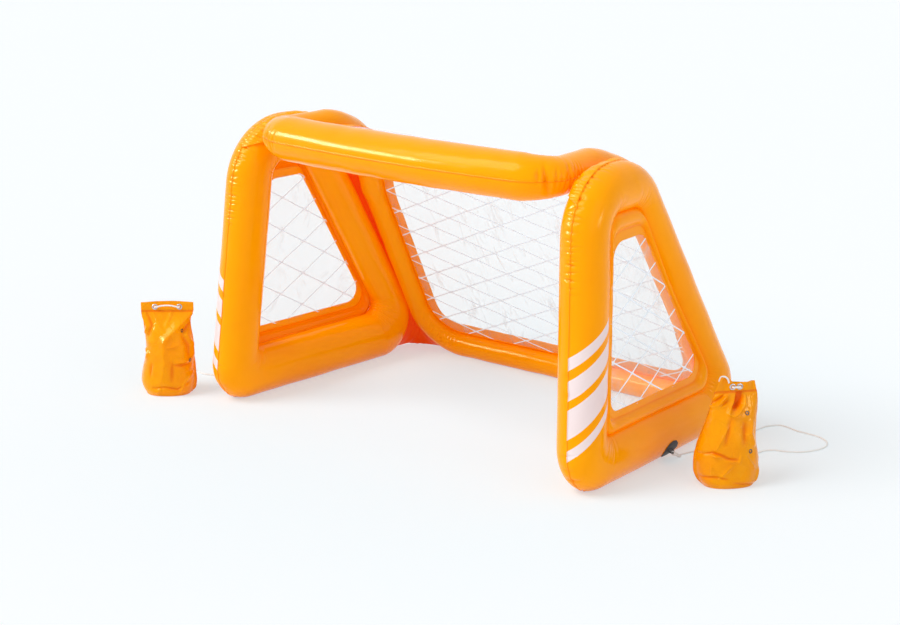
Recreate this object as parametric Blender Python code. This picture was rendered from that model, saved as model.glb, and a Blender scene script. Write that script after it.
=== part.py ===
"""Inflatable pool goal: two inflated side frames, an inflated ring folded over them that forms the
crossbar, the roof arms, the back legs and the back foot, clear windows in welded borders, corner webs,
valves, tie patches, and two weight bags on cords.

Metres, +Z up, the mouth of the goal facing -Y, standing on Z = 0."""

import math

import bmesh
import bpy
import numpy as np
from mathutils import Matrix, Vector

# Clearance between touching pieces.
GAP = 0.0003

# Side frame outline, in its own plane: u runs from the mouth to the back and v runs up.
FRAME_DEPTH = 0.885
FRAME_HEIGHT = 0.815
POST_LEAN = 0.071
TOP_BACK = 0.368
POST_WIDTH = 0.131
TOP_WIDTH = 0.130
LEG_WIDTH = 0.108
FOOT_WIDTH = 0.143
FRAME_THICKNESS = 0.123
LEG_BULGE_OUT = 0.054
LEG_BULGE_IN = 0.037
FRONT_FOOT_RADIUS = 0.105
BACK_FOOT_RADIUS = 0.120
BACK_TOP_RADIUS = 0.180
FRONT_TOP_RADIUS = 0.190
FRAME_INNER_RADII = (0.022, 0.030, 0.040, 0.045)

# How the side frames stand: half the distance between them at the mouth, splay and inward lean.
HALF_SPAN = 0.621
SPLAY = math.radians(2.86)
LEAN = math.radians(3.23)
FLOOR_FLAT = 0.002

# Side windows: each edge's distance inside the tube, and where the sheet lies in its thickness.
WINDOW_BORDERS = {"foot": 0.045, "leg": 0.014, "top": 0.066, "post": 0.022}
WINDOW_SET_OUT = 0.028
WINDOW_RADII = (0.030, 0.038, 0.038, 0.050)
FILM_THICKNESS = 0.0006
BORDER_THICKNESS = 0.001
FILM_LAP = 0.006

# Ring over the frames. Its profile runs up the back slope, over a bend and forward to the crossbar.
FOOT_AHEAD = 0.035
SHOULDER_BEHIND = 0.0827
ROOF_BELOW_SEAM = 0.038
SHOULDER_RADIUS = 0.25
RING_FOOT_Y = FRAME_DEPTH - FOOT_AHEAD
ROOF_HEIGHT = FRAME_HEIGHT - ROOF_BELOW_SEAM
RING_SLOPE = math.atan2(RING_FOOT_Y - TOP_BACK - SHOULDER_BEHIND, ROOF_HEIGHT)
CROSSBAR_Y = 0.107
CROSSBAR_BOW = 0.0285
CROSSBAR_DIAMETER = 0.122
CROSSBAR_OVERHANG = 0.015
ARM_DIAMETER = 0.098
ARM_CLEARANCE = 0.0126
LEG_DIAMETER = 0.062
LEG_FLARE = 0.065
LEG_TUCK = 0.0075
LEG_TOP_BELOW_BEND = 0.117
RING_FOOT_DIAMETER = 0.072
RING_FOOT_RADIUS = 0.165
RING_FRONT_RADIUS = 0.110
RING_BORDER = 0.040
RING_FILM_SET_BACK = 0.010

# Corner webs and top webs, single sheet.
WEB_THICKNESS = 0.001
TOP_WEB_ARC = math.radians(56.0)
TOP_WEB_LIFT = 0.0024
TOP_WEB_COLUMNS = 4
WEB_BELOW_SEAM = 0.125
WEB_BULGE = 0.009
WEB_EDGE = 0.004
WEB_CLEAR = 0.0042
WEB_CORNER_AHEAD = 0.050

# Inflation valves.
VALVE_FLANGE_RADIUS = 0.015
VALVE_FLANGE_HEIGHT = 0.0012
VALVE_NECK_RADIUS = 0.0056
VALVE_NECK_HEIGHT = 0.0075
VALVE_BORE_RADIUS = 0.0036
PLUG_STEM_RADIUS = 0.0024
PLUG_STEM_LENGTH = 0.003
PLUG_CAP_THICKNESS = 0.0014
PLUG_STRAP_WIDTH = 0.0044
PLUG_STRAP_THICKNESS = 0.0008
PLUG_ROOT_AT = 0.0120
RING_VALVE_X = 0.27

# Tie patches on the feet of the side frames, with a moulded loop for the cord.
PATCH_U = 0.420
PATCH_ANGLE = math.radians(52.0)
PATCH_HALF_LENGTH = 0.034
PATCH_HALF_HEIGHT = 0.026
PATCH_THICKNESS = 0.0016
PATCH_LIFT = 0.0006
LOOP_RADIUS = 0.0095
LOOP_WIRE = 0.0019
LOOP_FOOT = 0.0006
HITCH_RADIUS = 0.0070
KNOT_RADIUS = 0.0062

# Weight bags when filled, with a hem at the top. The right bag's mouth is gathered and leans.
BAG_HALF_WIDTH = 0.078
BAG_HALF_DEPTH = 0.060
BAG_HEIGHT = 0.242
HEM_HEIGHT = 0.024
HEM_DEPTH = 0.0070
HEM_PEAK = {"left": 0.0, "right": 0.014}
GROMMET_RADIUS = 0.0085
GROMMET_HOLE = 0.0045
GROMMET_THICKNESS = 0.0012
GROMMET_HALF_SPACING = {"left": 0.035, "right": 0.0093}
DRAIN_RADIUS = 0.0056
DRAIN_HOLE = 0.0030
CORD_DIAMETER = 0.0046

# Where the bags stand, as seen from the mouth's middle at the floor, and how far they are turned.
BAG_STANDS = {"left": (-0.807, 0.005), "right": (0.8535, 0.371)}
BAG_TURNS = {"left": math.radians(40.0), "right": math.radians(50.0)}

# Shapes of the bags at shares of their height: half widths and sideways leans as shares of the half
# width, and half depths as shares of the half depth. The last value is the hem's as well.
BAG_SHARES = (0.0, 0.04, 0.15, 0.28, 0.42, 0.52, 0.62, 0.72, 0.80, 0.89, 0.95, 1.0)
BAG_DEPTHS = (0.80, 0.95, 0.98, 1.0, 0.95, 0.90, 0.79, 0.64, 0.49, 0.27, 0.15, 0.05)
BAG_WIDTHS = {
    "left": (0.795, 0.890, 0.972, 0.942, 0.891, 0.869, 0.857, 0.848, 0.840, 0.842, 0.895, 0.964),
    "right": (0.82, 0.925, 1.055, 1.039, 0.981, 0.902, 0.860, 0.829, 0.797, 0.756, 0.724, 0.698),
}
BAG_LEANS = {
    "left": (-0.049, -0.060, -0.071, -0.055, 0.010, 0.039, 0.033, 0.004, -0.031, -0.051, -0.047, -0.022),
    "right": (0.029, 0.009, -0.011, -0.035, -0.054, -0.014, 0.040, 0.091, 0.140, 0.181, 0.198, 0.209),
}

# Drain eyelets: the angle round the bag and the share of its height.
DRAINS = {
    "left": {"upper": (-0.92, 0.78), "lower": (-0.54, 0.43)},
    "right": {"upper": (-1.165, 0.79), "lower": (-0.96, 0.40)},
}

# How far back the cap of the back valve reaches.
BACK_REACH = RING_FOOT_Y + 0.0250

# Facets.
TUBE_SIDES = 16
FILM_COLUMNS = 4
WEB_ROWS = 16
ARC_STEPS = 6
FRAME_STEPS = (3, 3, 3, 3)
RING_STEPS = (2, 3, 6, 3, 5, 3, 6, 3)
BAG_SIDES = 20
SMALL_SIDES = 12
CORD_POINTS = 64

# Free cords, from the knot at the patch to the bag, as seen from the mouth's middle at the floor.
CORD_LIFT = 0.5 * CORD_DIAMETER + 0.0004
RIGHT_CORD = [
    (0.6560, 0.455, 0.0055), (0.6510, 0.468, CORD_LIFT), (0.6560, 0.490, CORD_LIFT),
    (0.6680, 0.530, CORD_LIFT), (0.6780, 0.590, CORD_LIFT), (0.6870, 0.650, CORD_LIFT),
    (0.6940, 0.712, CORD_LIFT), (0.6980, 0.770, CORD_LIFT), (0.7030, 0.818, CORD_LIFT),
    (0.7250, 0.848, CORD_LIFT), (0.7570, 0.846, CORD_LIFT), (0.7880, 0.836, CORD_LIFT),
    (0.8250, 0.834, CORD_LIFT), (0.8620, 0.828, CORD_LIFT), (0.8960, 0.806, CORD_LIFT),
    (0.9130, 0.770, CORD_LIFT), (0.9080, 0.728, CORD_LIFT), (0.8860, 0.690, CORD_LIFT),
    (0.8540, 0.668, CORD_LIFT), (0.8200, 0.655, CORD_LIFT), (0.8020, 0.628, CORD_LIFT),
    (0.8060, 0.585, CORD_LIFT), (0.8200, 0.535, CORD_LIFT),
]
LEFT_CORD = [
    (-0.6560, 0.400, 0.0055), (-0.6640, 0.386, CORD_LIFT), (-0.6860, 0.352, CORD_LIFT),
    (-0.7200, 0.304, CORD_LIFT), (-0.7560, 0.258, CORD_LIFT), (-0.7860, 0.222, CORD_LIFT),
    (-0.8140, 0.194, CORD_LIFT), (-0.8500, 0.181, CORD_LIFT), (-0.8920, 0.190, CORD_LIFT),
    (-0.9400, 0.220, CORD_LIFT), (-0.9940, 0.258, CORD_LIFT), (-1.0480, 0.292, CORD_LIFT),
    (-1.1000, 0.316, CORD_LIFT), (-1.1420, 0.314, CORD_LIFT), (-1.1560, 0.282, CORD_LIFT),
    (-1.1320, 0.244, CORD_LIFT), (-1.0820, 0.208, CORD_LIFT), (-1.0240, 0.172, CORD_LIFT),
    (-0.9700, 0.138, CORD_LIFT),
]

ORANGE = (0.96, 0.42, 0.01)
RED_ORANGE = (0.85, 0.14, 0.02)
FILM = (0.92, 0.94, 0.95)
CORD_WHITE = (0.75, 0.74, 0.70)
BLACK = (0.015, 0.015, 0.018)
METAL = (0.62, 0.62, 0.64)
DARK_METAL = (0.10, 0.11, 0.12)


def clear_scene():
    for old in list(bpy.data.objects):
        bpy.data.objects.remove(old, do_unlink=True)


def make_material(name, colour, roughness, metallic=0.0, alpha=1.0):
    material = bpy.data.materials.new(name)
    material.use_nodes = True
    shader = material.node_tree.nodes["Principled BSDF"]
    shader.inputs["Base Color"].default_value = (*colour, 1.0)
    shader.inputs["Roughness"].default_value = roughness
    shader.inputs["Metallic"].default_value = metallic
    shader.inputs["Alpha"].default_value = alpha
    return material


def add_object(name, mesh, material, parent=None, matrix=None, smooth=True):
    """Links a mesh as an object, placed by its matrix under an optional parent."""
    piece = bpy.data.objects.new(name, mesh)
    bpy.context.scene.collection.objects.link(piece)
    mesh.materials.append(material)
    if smooth:
        mesh.shade_smooth()
        mesh.set_sharp_from_angle(angle=math.radians(40))
    if parent is not None:
        piece.parent = parent
    if matrix is not None:
        piece.matrix_local = matrix
    return piece


def mesh_from(name, points, faces, cut_floor=False):
    """A closed mesh with its faces turned outwards, cut flat at the floor if asked."""
    mesh = bpy.data.meshes.new(name)
    bm = bmesh.new()
    verts = [bm.verts.new(tuple(map(float, p))) for p in points]
    for face in faces:
        bm.faces.new([verts[i] for i in face])
    if cut_floor:
        geom = bm.verts[:] + bm.edges[:] + bm.faces[:]
        bmesh.ops.bisect_plane(
            bm, geom=geom, plane_co=(0, 0, 0), plane_no=(0, 0, -1), clear_outer=True
        )
        rim = [edge for edge in bm.edges if edge.is_boundary]
        bmesh.ops.contextual_create(bm, geom=rim)
    bmesh.ops.recalc_face_normals(bm, faces=bm.faces[:])
    if bm.calc_volume(signed=True) < 0:
        bmesh.ops.reverse_faces(bm, faces=bm.faces[:])
    bm.to_mesh(mesh)
    bm.free()
    return mesh


def loft(sections, around=False):
    """Faces of a skin over sections of equal count: a closed loop of them, or a capped run."""
    count, sides = len(sections), len(sections[0])
    points = [p for section in sections for p in section]
    faces = []
    for i in range(count if around else count - 1):
        j = (i + 1) % count
        for k in range(sides):
            n = (k + 1) % sides
            faces.append((i * sides + k, i * sides + n, j * sides + n, j * sides + k))
    if not around:
        faces.append(tuple(range(sides)))
        faces.append(tuple((count - 1) * sides + k for k in range(sides)))
    return points, faces


def offset_polygon(corners, distances):
    """Moves each edge of an anticlockwise polygon inwards by its own distance."""
    lines = []
    for i, start in enumerate(corners):
        end = corners[(i + 1) % len(corners)]
        along = (end - start) / np.linalg.norm(end - start)
        inward = np.array([-along[1], along[0]])
        lines.append((start + inward * distances[i], along))
    moved = []
    for i, (q, s) in enumerate(lines):
        p, t = lines[i - 1]
        k = np.linalg.solve(np.array([t, -s]).T, q - p)
        moved.append(p + t * k[0])
    return np.array(moved)


def rounded_path(corners, radii, steps):
    """Points round a polygon with rounded corners, each side cut into its own number of steps."""
    path = []
    count = len(corners)
    arcs = []
    for i, corner in enumerate(corners):
        back = corners[i - 1] - corner
        ahead = corners[(i + 1) % count] - corner
        back, ahead = back / np.linalg.norm(back), ahead / np.linalg.norm(ahead)
        half = 0.5 * math.acos(np.clip(back @ ahead, -1, 1))
        middle = (back + ahead) / np.linalg.norm(back + ahead)
        centre = corner + middle * radii[i] / math.sin(half)
        start = corner + back * radii[i] / math.tan(half)
        end = corner + ahead * radii[i] / math.tan(half)
        first = math.atan2(*(start - centre)[::-1])
        last = math.atan2(*(end - centre)[::-1])
        sweep = (last - first + math.pi) % (2 * math.pi) - math.pi
        turns = [first + sweep * k / ARC_STEPS for k in range(ARC_STEPS + 1)]
        arcs.append([centre + radii[i] * np.array([math.cos(a), math.sin(a)]) for a in turns])
    for i, arc in enumerate(arcs):
        path += arc
        following = arcs[(i + 1) % count][0]
        path += [arc[-1] + (following - arc[-1]) * k / steps[i] for k in range(1, steps[i])]
    return np.array(path)


def moved_in(path, distance):
    """A closed path with every point moved inwards, square to the path."""
    along = np.roll(path, -1, axis=0) - np.roll(path, 1, axis=0)
    along /= np.linalg.norm(along, axis=1)[:, None]
    return path + np.stack([-along[:, 1], along[:, 0]], axis=1) * distance


def along_edges(values, steps):
    """One value for each point of rounded_path, turning from one edge's value to the next."""
    out = []
    for i, value in enumerate(values):
        before = values[i - 1]
        out += [before + (value - before) * k / ARC_STEPS for k in range(ARC_STEPS + 1)]
        out += [value] * (steps[i] - 1)
    return np.array(out)


def tube_sections(outer, inner, bulges, place):
    """Round sections between an outer and an inner path, with their bulge to either side."""
    sections = []
    for out, inn, (front, back) in zip(outer, inner, bulges):
        middle, reach = 0.5 * (out + inn), 0.5 * (out - inn)
        ring = []
        for k in range(TUBE_SIDES):
            a = 2 * math.pi * k / TUBE_SIDES
            flat = middle + reach * math.cos(a)
            ring.append(place(flat[0], flat[1], (front if a < math.pi else back) * math.sin(a)))
        sections.append(ring)
    return sections


def band_sections(outer, inner, low, high, place):
    """Flat sections of a thin band between two paths, from one level to another."""
    return [
        [place(*out, low), place(*inn, low), place(*inn, high), place(*out, high)]
        for out, inn in zip(outer, inner)
    ]


def plate(path, low, high, place):
    """A flat sheet inside a closed path."""
    rings = [[place(u, v, level) for u, v in path] for level in (low, high)]
    return loft(rings)


class SideFrame:
    """The plane and the outlines of one side frame: side is +1 on the right and -1 on the left."""

    corners = np.array(
        [[0, 0], [FRAME_DEPTH, 0], [TOP_BACK, FRAME_HEIGHT], [POST_LEAN, FRAME_HEIGHT]]
    )
    widths = (FOOT_WIDTH, LEG_WIDTH, TOP_WIDTH, POST_WIDTH)
    borders = tuple(WINDOW_BORDERS[k] for k in ("foot", "leg", "top", "post"))

    def __init__(self, side):
        self.side = side
        self.along = Vector((-side * math.sin(SPLAY), math.cos(SPLAY), 0))
        level_out = Vector((side * math.cos(SPLAY), math.sin(SPLAY), 0))
        up = Vector((0, 0, 1))
        self.rise = up * math.cos(LEAN) - level_out * math.sin(LEAN)
        self.out = level_out * math.cos(LEAN) + up * math.sin(LEAN)
        self.origin = Vector((side * HALF_SPAN, 0, -FLOOR_FLAT))
        radii = (FRONT_FOOT_RADIUS, BACK_FOOT_RADIUS, BACK_TOP_RADIUS, FRONT_TOP_RADIUS)
        self.outer = rounded_path(self.corners, radii, FRAME_STEPS)
        inner = offset_polygon(self.corners, self.widths)
        self.inner = rounded_path(inner, FRAME_INNER_RADII, FRAME_STEPS)
        half = 0.5 * FRAME_THICKNESS
        self.bulge_out = along_edges((half, LEG_BULGE_OUT, half, half), FRAME_STEPS)
        self.bulge_in = along_edges((half, LEG_BULGE_IN, half, half), FRAME_STEPS)

    def place(self, u, v, n):
        return self.origin + self.along * float(u) + self.rise * float(v) + self.out * float(n)

    def tube(self):
        bulges = np.stack([self.bulge_out, self.bulge_in], axis=1)
        return loft(tube_sections(self.outer, self.inner, bulges, self.place), around=True)

    def window_edge(self, inset=0.0):
        """The path where the border ends and the clear window shows."""
        distances = [w + b - inset for w, b in zip(self.widths, self.borders)]
        radii = [r + inset for r in WINDOW_RADII]
        return rounded_path(offset_polygon(self.corners, distances), radii, FRAME_STEPS)

    def border(self):
        """The welded border, from just inside the tube to the window."""
        level = WINDOW_SET_OUT
        bulge = np.sqrt(1 - (level / self.bulge_out) ** 2)[:, None]
        middle = 0.5 * (self.outer + self.inner)
        reach = 0.5 * (self.inner - self.outer)
        span = np.linalg.norm(reach, axis=1)[:, None]
        outer = middle + reach * bulge + reach / span * 2 * GAP
        sections = band_sections(
            outer, self.window_edge(), level, level + BORDER_THICKNESS, self.place
        )
        return loft(sections, around=True)

    def film(self):
        high = WINDOW_SET_OUT - GAP
        return plate(self.window_edge(FILM_LAP), high - FILM_THICKNESS, high, self.place)

    def foot_section(self, u, angle, lift):
        """A point on the foot tube's skin: angle 0 faces the floor and 90 degrees faces out."""
        half = 0.5 * FOOT_WIDTH
        v = half - (half + lift) * math.cos(angle)
        return self.place(u, v, (0.5 * FRAME_THICKNESS + lift) * math.sin(angle))

    def foot_normal(self, angle):
        half, thick = 0.5 * FOOT_WIDTH, 0.5 * FRAME_THICKNESS
        normal = self.out * (math.sin(angle) / thick) - self.rise * (math.cos(angle) / half)
        return normal.normalized()


class Ring:
    """The folded ring: x runs across and s runs up the back, over the bend and forward."""

    def __init__(self):
        slope = RING_SLOPE
        bend = math.pi / 2 + slope
        turn = math.pi - bend
        self.turn = turn
        tangent = SHOULDER_RADIUS * math.tan(0.5 * turn)
        self.slope_length = ROOF_HEIGHT / math.cos(slope) - tangent
        self.bend_length = SHOULDER_RADIUS * turn
        foot = np.array([RING_FOOT_Y, 0.0])
        self.foot = foot
        self.up_slope = np.array([-math.sin(slope), math.cos(slope)])
        self.bend_start = foot + self.up_slope * self.slope_length
        inward = np.array([-math.cos(slope), -math.sin(slope)])
        self.bend_centre = self.bend_start + inward * SHOULDER_RADIUS
        self.bend_end = self.bend_centre + np.array([0.0, SHOULDER_RADIUS])
        roof = self.bend_end[0] - CROSSBAR_Y
        self.front = self.slope_length + self.bend_length + roof
        frame = SideFrame(1)
        beside = frame.place(0.5 * (POST_LEAN + TOP_BACK), FRAME_HEIGHT - 0.5 * TOP_WIDTH, 0)
        apart = 0.5 * (FRAME_THICKNESS + ARM_DIAMETER) + ARM_CLEARANCE
        self.arm_half = beside.x - math.sqrt(apart**2 - (ROOF_HEIGHT - beside.z) ** 2)
        self.crossbar_half = self.arm_half + CROSSBAR_OVERHANG
        self.leg_half_top = self.arm_half + LEG_FLARE
        apart = LEG_BULGE_IN + 0.5 * LEG_DIAMETER - LEG_TUCK
        self.leg_half_foot = frame.place(RING_FOOT_Y, 0, 0).x - apart
        foot_centre = 0.5 * RING_FOOT_DIAMETER - FLOOR_FLAT
        self.foot_at = foot_centre / math.cos(slope)
        self.outer, self.inner = self.paths()

    def profile(self, s):
        """(y, z) on the profile at s, and the unit normal that points up and back."""
        slope = RING_SLOPE
        if s <= self.slope_length:
            point, angle = self.foot + self.up_slope * s, 0.0
        elif s <= self.slope_length + self.bend_length:
            angle = (s - self.slope_length) / SHOULDER_RADIUS
            normal = np.array([math.cos(slope + angle), math.sin(slope + angle)])
            return self.bend_centre + normal * SHOULDER_RADIUS, normal
        else:
            angle = self.turn
            ahead = s - self.slope_length - self.bend_length
            point = self.bend_end - np.array([ahead, 0.0])
        return point, np.array([math.cos(slope + angle), math.sin(slope + angle)])

    def place(self, x, s, n):
        point, normal = self.profile(float(s))
        y, z = point + normal * float(n)
        return Vector((float(x), float(y), float(z)))

    def paths(self):
        """Outer and inner paths, from the back foot's left end round to the right and over."""
        r_leg, r_arm, r_bar = 0.5 * LEG_DIAMETER, 0.5 * ARM_DIAMETER, 0.5 * CROSSBAR_DIAMETER
        arm_at = self.slope_length + 0.85 * self.bend_length

        def half(sign):
            low = self.foot_at - sign * 0.5 * RING_FOOT_DIAMETER
            high = self.front + sign * r_bar
            return [
                (self.leg_half_foot + sign * r_leg, low),
                (self.leg_half_top + sign * r_leg, self.slope_length - LEG_TOP_BELOW_BEND),
                (self.arm_half + sign * r_arm, arm_at),
                (self.crossbar_half + (r_bar if sign > 0 else -r_arm), high),
            ]

        routes = []
        for sign, foot_radius, front_radius in (
            (1, RING_FOOT_RADIUS, RING_FRONT_RADIUS),
            (-1, RING_FOOT_RADIUS - LEG_DIAMETER, 0.022),
        ):
            right = half(sign)
            left = [(-x, s) for x, s in right]
            corners = np.array(left[:1] + right + left[:0:-1])
            soft = 0.30
            radii = [foot_radius, foot_radius, soft, soft, front_radius, front_radius, soft, soft]
            routes.append(self.bowed(rounded_path(corners, radii, RING_STEPS)))
        return routes

    def bow(self, x, s):
        """How far the crossbar's bow moves a point forward."""
        share = min(max((s - self.front) / CROSSBAR_DIAMETER + 1.0, 0.0), 1.0)
        return CROSSBAR_BOW * share * (1.0 - min(abs(x) / self.crossbar_half, 1.0) ** 2)

    def bowed(self, path):
        return np.array([(x, s + self.bow(x, s)) for x, s in path])

    def thickness(self):
        bend = 0.5 * (LEG_DIAMETER + ARM_DIAMETER)
        edges = [RING_FOOT_DIAMETER, LEG_DIAMETER, bend, ARM_DIAMETER]
        edges += [CROSSBAR_DIAMETER, ARM_DIAMETER, bend, LEG_DIAMETER]
        return along_edges(edges, RING_STEPS)

    def tube(self):
        half = 0.5 * self.thickness()
        bulges = np.stack([half, half], axis=1)
        return loft(tube_sections(self.outer, self.inner, bulges, self.place), around=True)

    def window_edge(self, inset=0.0):
        return moved_in(self.inner, RING_BORDER - inset)

    def border(self):
        level = RING_FILM_SET_BACK
        bulge = np.sqrt(1 - (2 * level / self.thickness()) ** 2)[:, None]
        middle = 0.5 * (self.outer + self.inner)
        reach = 0.5 * (self.inner - self.outer)
        span = np.linalg.norm(reach, axis=1)[:, None]
        outer = middle + reach * bulge + reach / span * 4 * GAP
        sections = band_sections(
            outer, self.window_edge(), level, level + BORDER_THICKNESS, self.place
        )
        return loft(sections, around=True)

    def right_side(self, path):
        """A path's points on the right, from the back foot to the crossbar."""
        return path[RING_STEPS[0] + ARC_STEPS : sum(RING_STEPS[:4]) + 5 * ARC_STEPS + 1]

    def film(self):
        """The clear sheet, in rows from the back foot over the bend to the crossbar."""
        top = RING_FILM_SET_BACK - GAP
        sections = []
        for x, s in self.right_side(self.window_edge(FILM_LAP)):
            row = []
            for level, order in ((top, 1), (top - FILM_THICKNESS, -1)):
                for k in range(FILM_COLUMNS + 1):
                    across = x * order * (2 * k / FILM_COLUMNS - 1)
                    row.append(self.place(across, s + self.bow(across, s) - self.bow(x, s), level))
            sections.append(row)
        return loft(sections)


def sheet(rails, thickness):
    """A thin sheet over rows of points: every row runs from one edge to the other."""
    last, width = len(rails) - 1, len(rails[0])
    sections = []
    for i, row in enumerate(rails):
        low, high = [], []
        for k, point in enumerate(row):
            along = rails[min(i + 1, last)][k] - rails[max(i - 1, 0)][k]
            across = row[min(k + 1, width - 1)] - row[max(k - 1, 0)]
            normal = along.cross(across).normalized() * (0.5 * thickness)
            low.append(point - normal)
            high.append(point + normal)
        sections.append(low + high[::-1])
    points = [p for section in sections for p in section]
    sides = 2 * width
    faces = []
    for i in range(last):
        low, high = i * sides, (i + 1) * sides
        for k in range(width - 1):
            for near, far in ((k, k + 1), (sides - 1 - k, sides - 2 - k)):
                faces.append((low + near, low + far, high + far))
                faces.append((low + near, high + far, high + near))
        for near, far in ((width - 1, width), (sides - 1, 0)):
            faces.append((low + near, low + far, high + far, high + near))
    strips = [(k, k + 1, sides - 2 - k, sides - 1 - k) for k in range(width - 1)]
    ends = [tuple(last * sides + k for k in strip) for strip in strips]
    return points, faces + strips + ends


def top_web(frame, ring):
    """The sheet from a side frame's top seam, over its inner shoulder, to the ring's outer seam."""
    count = len(frame.outer)
    corner = sum(FRAME_STEPS[:2]) + 2 * ARC_STEPS
    first, last = corner + 2, corner + FRAME_STEPS[2] + 2 * ARC_STEPS - 1
    edge = ring.right_side(moved_in(ring.outer, -WEB_CLEAR))
    runs = np.linspace(edge[-1, 1], ring.slope_length, 80)
    depths = [ring.profile(s)[0][0] for s in runs]
    rails = []
    for i in range(first, last + 1):
        out, inn = frame.outer[i % count], frame.inner[i % count]
        middle, reach = 0.5 * (out + inn), 0.5 * (out - inn)
        stretch = reach * (1 + TOP_WEB_LIFT / np.linalg.norm(reach))
        row = []
        for k in range(TOP_WEB_COLUMNS + 1):
            a = TOP_WEB_ARC * k / TOP_WEB_COLUMNS
            flat = middle + stretch * math.cos(a)
            drop = (frame.bulge_in[i % count] + TOP_WEB_LIFT) * math.sin(a)
            row.append(frame.place(*flat, -drop))
        if row[-1].y > depths[0]:
            s = np.interp(row[-1].y, depths, runs)
            row.append(ring.place(frame.side * np.interp(s, edge[:, 1], edge[:, 0]), s, 0))
        else:
            row.append(row[-1] + (row[-1] - row[-2]) * 0.5)
        rails.append(row)
    return sheet(rails, WEB_THICKNESS)


def corner_web(frame, ring):
    """The sheet from a side frame's back seam to the ring's outer seam, spread on the floor."""
    corner = FRAME_STEPS[0] + ARC_STEPS
    seam = moved_in(frame.outer, -WEB_CLEAR)[corner + 1 : corner + FRAME_STEPS[1] + ARC_STEPS + 3]
    edge = ring.right_side(moved_in(ring.outer, -WEB_CLEAR))
    back = Vector((0, math.cos(RING_SLOPE), math.sin(RING_SLOPE)))
    corner = frame.place(FRAME_DEPTH - WEB_CORNER_AHEAD, 0, 0)
    rails = []
    for k in range(WEB_ROWS + 1):
        height = (FRAME_HEIGHT - WEB_BELOW_SEAM) * (k / WEB_ROWS) ** 1.5
        spread = max(0.0, 1.0 - height / BACK_FOOT_RADIUS)
        v, s = height / math.cos(LEAN) + WEB_EDGE, height / math.cos(RING_SLOPE) + WEB_EDGE
        a = frame.place(np.interp(v, seam[:, 1], seam[:, 0]), v, 0)
        b = ring.place(frame.side * np.interp(s, edge[:, 1], edge[:, 0]), s, 0)
        crest = 0.5 * (a + b) + back * WEB_BULGE
        crest = crest.lerp(Vector((corner.x, corner.y, height)), spread)
        row = [a, 0.5 * (a + crest), crest, 0.5 * (crest + b), b]
        if height == 0:
            for point in row:
                point.z = 0.5 * WEB_THICKNESS + GAP
        rails.append(row if frame.side > 0 else row[::-1])
    return sheet(rails, WEB_THICKNESS)


def turned(profile, sides):
    """A solid turned about Z from (radius, height) points; the first and last lie on the axis."""
    points, faces = [Vector((0, 0, profile[0][1]))], []
    for radius, height in profile[1:-1]:
        for k in range(sides):
            a = 2 * math.pi * k / sides
            points.append(Vector((radius * math.cos(a), radius * math.sin(a), height)))
    points.append(Vector((0, 0, profile[-1][1])))
    rings, last = len(profile) - 2, len(points) - 1
    for k in range(sides):
        n = (k + 1) % sides
        faces.append((0, 1 + n, 1 + k))
        for ring in range(rings - 1):
            low, high = 1 + ring * sides, 1 + (ring + 1) * sides
            faces.append((low + k, low + n, high + n, high + k))
        top = 1 + (rings - 1) * sides
        faces.append((top + k, top + n, last))
    return points, faces


def washer(outer, hole, thickness, sides):
    """A flat eyelet with a rolled edge, its hole along Z, standing on Z = 0."""
    profile = [
        (hole, 0.0), (outer, 0.0), (outer - 0.25 * (outer - hole), thickness), (hole, thickness)
    ]
    sections = []
    for k in range(sides):
        a = 2 * math.pi * k / sides
        sections.append([Vector((r * math.cos(a), r * math.sin(a), z)) for r, z in profile])
    return loft(sections, around=True)


def look_along(origin, normal, side):
    """A placement whose Z is the normal and whose X is as near to a given direction as it can be."""
    z = normal.normalized()
    y = z.cross(side).normalized()
    x = y.cross(z)
    matrix = Matrix((x, y, z)).transposed().to_4x4()
    matrix.translation = origin
    return matrix


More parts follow.
